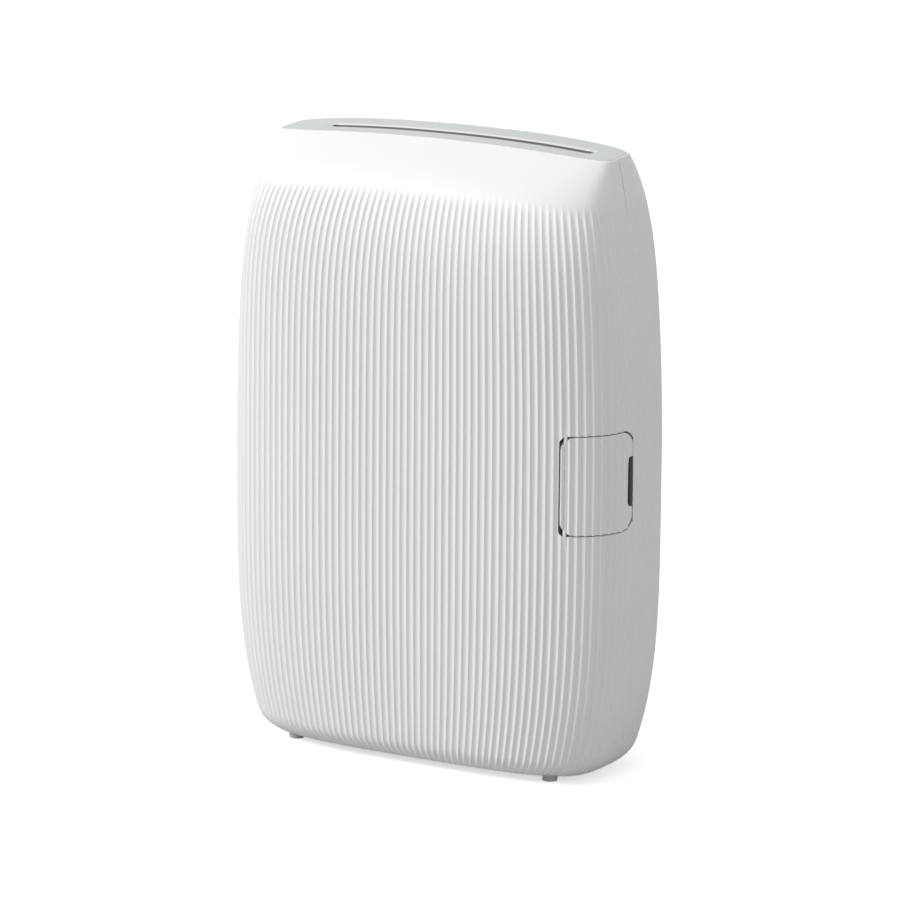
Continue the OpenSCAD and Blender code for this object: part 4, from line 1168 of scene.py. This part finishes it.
@dataclass
class TopCap:
    """The crowned cap: a shallow valley down to the outlet slot, with a raised lip behind it."""

    skin: CaseSkin = field(default_factory=CaseSkin)
    inset: float = 0.5
    edge_round: float = 0.22
    valley_y: tuple[float, ...] = (-9.0, -5.4, 0.3, 1.7, 2.25, 11.0)
    valley_h: tuple[float, ...] = (0.0, 0.0, -0.3, -0.24, 0.0, 0.0)
    soften: float = 0.07
    middle_x: float = 2.2
    fade_from: float = 27.7
    fade_to: float = 32.7
    centre: tuple[float, float] = (0.0, 1.2)
    edge_level: float = 0.93
    spread: float = 1.02
    face_depth: float = 0.5
    lifted: float = 2.0

    def valley(self, y: np.ndarray) -> np.ndarray:
        """Give the depth of the valley at each place along Y, its corners softened."""
        dense = np.linspace(-12, 14, 5201)
        raw = np.interp(dense, self.valley_y, self.valley_h)
        reach = np.arange(-120, 121) * (dense[1] - dense[0])
        weight = np.exp(-0.5 * (reach / self.soften) ** 2)
        soft = np.convolve(np.pad(raw, 120, mode="edge"), weight / weight.sum(), mode="valid")
        return np.interp(y, dense, soft)

    def surface(self, x: np.ndarray, y: np.ndarray) -> np.ndarray:
        """Give the height of the cap's upper face.

        Args:
            x: Places along X.
            y: Places along Y.

        Returns:
            The height at each place.
        """
        out = np.abs(x - self.middle_x) - self.fade_from
        k = np.clip(out / (self.fade_to - self.fade_from), 0, 1)
        fade = 0.5 + 0.5 * np.cos(np.pi * k)
        crown = self.skin.height + self.skin.lift(x, y, np.array(self.skin.height))
        return crown + self.valley(y) * fade

    def field_solid(self) -> bpy.types.Mesh:
        """Make the solid under the cap's upper face, wider than the cap."""
        ends = np.linspace(24, 42, 60)
        xs = np.concatenate([-ends[::-1], np.linspace(-24, 24, 65)[1:-1], ends])
        front, lip, back = np.linspace(-8, -0.2, 32), np.linspace(-0.2, 4, 56), np.linspace(4, 11, 16)
        ys = np.unique(np.concatenate([front, lip, back]))
        gx, gy = np.meshgrid(xs, ys, indexing="ij")
        top = np.stack([gx, gy, self.surface(gx, gy)], -1)
        base = top.copy()
        base[..., 2] = 60
        nx, ny = gx.shape
        points = np.concatenate([top.reshape(-1, 3), base.reshape(-1, 3)])
        i, j = np.meshgrid(np.arange(nx - 1), np.arange(ny - 1), indexing="ij")
        a, b, c, d = i * ny + j, (i + 1) * ny + j, (i + 1) * ny + j + 1, i * ny + j + 1
        upper = np.stack([a, b, c, d], -1).reshape(-1, 4)
        faces = upper.tolist() + (upper[:, ::-1] + nx * ny).tolist()
        rim = [k * ny for k in range(nx)] + [(nx - 1) * ny + k for k in range(1, ny)]
        rim += [k * ny + ny - 1 for k in range(nx - 2, -1, -1)] + list(range(ny - 2, 0, -1))
        for p, q in zip(rim, rim[1:] + rim[:1]):
            faces.append([p, p + nx * ny, q + nx * ny, q])
        return mesh_from("cap_field", points, faces)

    def outline_solid(self) -> bpy.types.Mesh:
        """Make the prism of the cap's outline, its upper edge rounded along the surface."""
        turn = np.linspace(0, 2 * np.pi, 961)[:-1]
        full = self.skin.ring(self.skin.height, turn, self.inset)
        full[:, 2] = 61
        rings = [full]
        for k in range(8):
            a = math.radians(90 * k / 7)
            inset = self.inset + self.edge_round * (1 - math.cos(a))
            ring = self.skin.ring(self.skin.height, turn, inset)
            fall = self.edge_round * (1 - math.sin(a))
            ring[:, 2] = self.surface(ring[:, 0], ring[:, 1]) - fall + (0.004 if k == 7 else 0)
            rings.append(ring)
        over = self.skin.ring(self.skin.height, turn, self.inset + self.edge_round + 0.5)
        over[:, 2] = self.skin.height + 6
        rings.append(over)
        return ring_solid("cap_outline", np.array(rings))

    def opened(self, p: np.ndarray) -> np.ndarray:
        """Push the CAD cap's upper face up and its edge out, so that both can be cut anew."""
        made = p.copy()
        top = p[:, 2] > self.surface(p[:, 0], p[:, 1]) - self.face_depth
        centre = np.array(self.centre)
        flat = p[:, :2] - centre
        wide, deep, _ = self.skin.half_sizes(np.array(self.skin.height))
        side, face = self.skin.powers(np.array(self.skin.height))
        along = (np.abs(flat[:, 0]) / (wide - self.inset)) ** side
        edge = along + (np.abs(flat[:, 1]) / (deep - self.inset)) ** face > self.edge_level
        made[edge, :2] = centre + flat[edge] * self.spread
        made[top, 2] += self.lifted
        return made

    def build(self) -> None:
        """Make the cap."""
        solid = moved(cad_solid("top_cap"), self.opened)
        for tool in (self.field_solid(), self.outline_solid()):
            solid = cut(solid, tool, Cut.KEEP_INSIDE)
            bpy.data.meshes.remove(tool)
        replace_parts(show("crowned_top_cap", solid, CAP_TRIM, "case", 30.0), "top_cap")


# -------------------------------------------------------- kept CAD assemblies


@dataclass(frozen=True)
class KeptAssembly:
    """CAD nodes whose shape is right, and what each is made of."""

    name: str
    finishes: tuple[tuple[Finish, tuple[str, ...]], ...]

    def dress(self) -> None:
        """Give each node its finish."""
        log.info("assembly %s", self.name)
        for finish, nodes in self.finishes:
            dress(finish, *nodes)


FASTENINGS = KeptAssembly(
    "feet, screws and pins",
    (
        (FOOT_RUBBER, ("feet",)),
        (ZINC_PLATE, ("case_screws", "door_hinge_pin", "board_screws")),
        (SATIN_STEEL, ("port_cover_pin",)),
    ),
)
DOOR_FITTINGS = KeptAssembly(
    "film door fittings",
    (
        (GREY_TRIM, ("door_latch",)),
        (SPRING_STEEL, ("latch_spring", "door_springs")),
        (FOAM, ("door_seal",)),
    ),
)
SIDE_FITTINGS = KeptAssembly(
    "charging port and power button",
    (
        (BEZEL_GREY, ("port_bezel",)),
        (ZINC_PLATE, ("charging_socket",)),
        (BOARD, ("port_board", "button_board")),
        (GREY_TRIM, ("power_button",)),
        (GUIDE, ("light_ring",)),
    ),
)
FILM_FEED = KeptAssembly(
    "film chamber, rollers and gear train",
    (
        (BLACK_PLASTIC, ("chassis", "print_head")),
        (ZINC_PLATE, ("left_bracket", "right_bracket", "gear_posts", "drive_motor", "claw_rivets")),
        (BRONZE, ("roller_bushes", "motor_pinion")),
        (SPRING_STEEL, ("roller_springs", "film_claw")),
        (GROUND_STEEL, ("front_roller", "rear_roller")),
        (ACETAL, ("front_roller_gear", "rear_roller_gear", "feed_gear", "reduction_gear")),
        (GLASS, ("lens_bar",)),
    ),
)
ELECTRONICS = KeptAssembly(
    "main board and battery",
    (
        (BOARD, ("main_board",)),
        (BOARD_PARTS, ("board_parts",)),
        (CABLE, ("head_ribbon",)),
        (FOIL, ("battery",)),
        (FOAM, ("battery_pad",)),
    ),
)


# --------------------------------------------------------------------- studio


@dataclass
class Studio:
    """The pale floor, the soft lights and the camera at the photograph's angle."""

    azimuth: float = 31.3
    elevation: float = 12.0
    distance: float = 1.052
    focal: float = 211.8
    sensor: float = 36.0
    aside: float = 0.71 * MM
    above: float = -1.12 * MM
    roll: float = 0.47
    target: tuple[float, float, float] = (0.0, 0.0, 0.0625)
    floor_reach: float = 6.0
    floor_glow: float = 0.6
    room_colour: Colour = (0.97, 0.985, 1.0)
    room_strength: float = 0.45
    lamps: tuple[tuple[str, tuple[float, float, float], float, float], ...] = (
        ("front_left_softbox", (-1.0, -0.91, 0.93), 0.6, 15.0),
        ("right_fill", (1.4, 0.3, 0.7), 0.9, 1.3),
        ("high_softbox", (0.2, -0.2, 1.5), 0.9, 3.4),
    )

    def camera(self) -> None:
        """Place the camera, roll included."""
        a, e, r = (math.radians(v) for v in (self.azimuth, self.elevation, self.roll))
        back = Vector((math.sin(a) * math.cos(e), -math.cos(a) * math.cos(e), math.sin(e)))
        right = Vector((math.cos(a), math.sin(a), 0.0))
        up = back.cross(right)
        right, up = right * math.cos(r) + up * math.sin(r), up * math.cos(r) - right * math.sin(r)
        data = bpy.data.cameras.new("camera")
        data.lens, data.sensor_width = self.focal, self.sensor
        data.clip_start, data.clip_end = 0.05, 50.0
        camera = bpy.data.objects.new("camera", data)
        place = Vector(self.target) + right * self.aside + up * self.above + back * self.distance
        turned = Matrix((right, up, back)).transposed().to_4x4()
        camera.matrix_world = Matrix.Translation(place) @ turned
        bpy.context.scene.collection.objects.link(camera)
        bpy.context.scene.camera = camera

    def floor(self) -> None:
        """Lay the floor: a wide pale sheet that a camera sees as white but for its shadow."""
        bench = Bench("pale_studio_floor")
        paper = bench.noise(bench.place(), 40.0, 2.0)
        bright = bench.blend(paper, (0.90, 0.90, 0.90), (0.915, 0.915, 0.915))
        dull = bench.blend(paper, (0.70, 0.70, 0.70), (0.72, 0.72, 0.72))
        matt = bench.add("ShaderNodeBsdfDiffuse", None, {"Color": bright})
        bounce = bench.add("ShaderNodeBsdfDiffuse", None, {"Color": dull})
        lit = bench.add("ShaderNodeEmission", None, {"Color": WHITE, "Strength": self.floor_glow})
        glow = bench.add("ShaderNodeAddShader", None, {0: matt, 1: lit})
        shader = bench.add("ShaderNodeMixShader", None, {0: bench.seen(), 1: bounce, 2: glow})
        mesh = bpy.data.meshes.new("studio_floor")
        r = self.floor_reach
        mesh.from_pydata([(-r, -r, 0), (r, -r, 0), (r, r, 0), (-r, r, 0)], [], [(0, 1, 2, 3)])
        mesh.materials.append(bench.finish(shader))
        floor = bpy.data.objects.new("studio_floor", mesh)
        bpy.context.scene.collection.objects.link(floor)
        floor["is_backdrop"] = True

    def world(self) -> None:
        """Light the room evenly, and show white behind everything."""
        bench = Bench("studio", world=True)
        room = bench.add(
            "ShaderNodeBackground", None, {0: (*self.room_colour, 1.0), 1: self.room_strength}
        )
        white = bench.add("ShaderNodeBackground", None, {0: WHITE, 1: 1.0})
        shader = bench.add("ShaderNodeMixShader", None, {0: bench.seen(), 1: room, 2: white})
        bpy.context.scene.world = bench.finish(shader, "ShaderNodeOutputWorld")

    def lamp(self, name: str, place: tuple[float, float, float], size: float, power: float) -> None:
        """Hang one soft square lamp that faces the middle of the printer.

        Args:
            name: The lamp's name.
            place: Where it hangs, in metres.
            size: The length of its side.
            power: Its power in watts.
        """
        data = bpy.data.lights.new(name, "AREA")
        data.shape, data.size, data.energy = "SQUARE", size, power
        lamp = bpy.data.objects.new(name, data)
        lamp.location = place
        aim = Vector(self.target) - Vector(place)
        lamp.rotation_mode = "QUATERNION"
        lamp.rotation_quaternion = aim.to_track_quat("-Z", "Y")
        bpy.context.scene.collection.objects.link(lamp)

    def build(self) -> None:
        """Set up the whole studio."""
        self.camera()
        self.floor()
        self.world()
        for lamp in self.lamps:
            self.lamp(*lamp)
        bpy.context.scene.view_settings.view_transform = "Standard"


def corners() -> list[list[float]]:
    """Give the shown object's lowest and highest corners as plain numbers."""
    return [[float(v) for v in corner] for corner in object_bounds()]


def main() -> None:
    """Build the printer's looks in order."""
    logging.basicConfig(level=logging.INFO, format="%(name)s: %(message)s")
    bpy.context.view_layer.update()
    Studio().build()
    Casing().build()
    TopCap().build()
    for assembly in (FASTENINGS, DOOR_FITTINGS, SIDE_FITTINGS, FILM_FEED, ELECTRONICS):
        assembly.dress()
    log.info("boxes written")


if __name__ == "__main__":
    main()
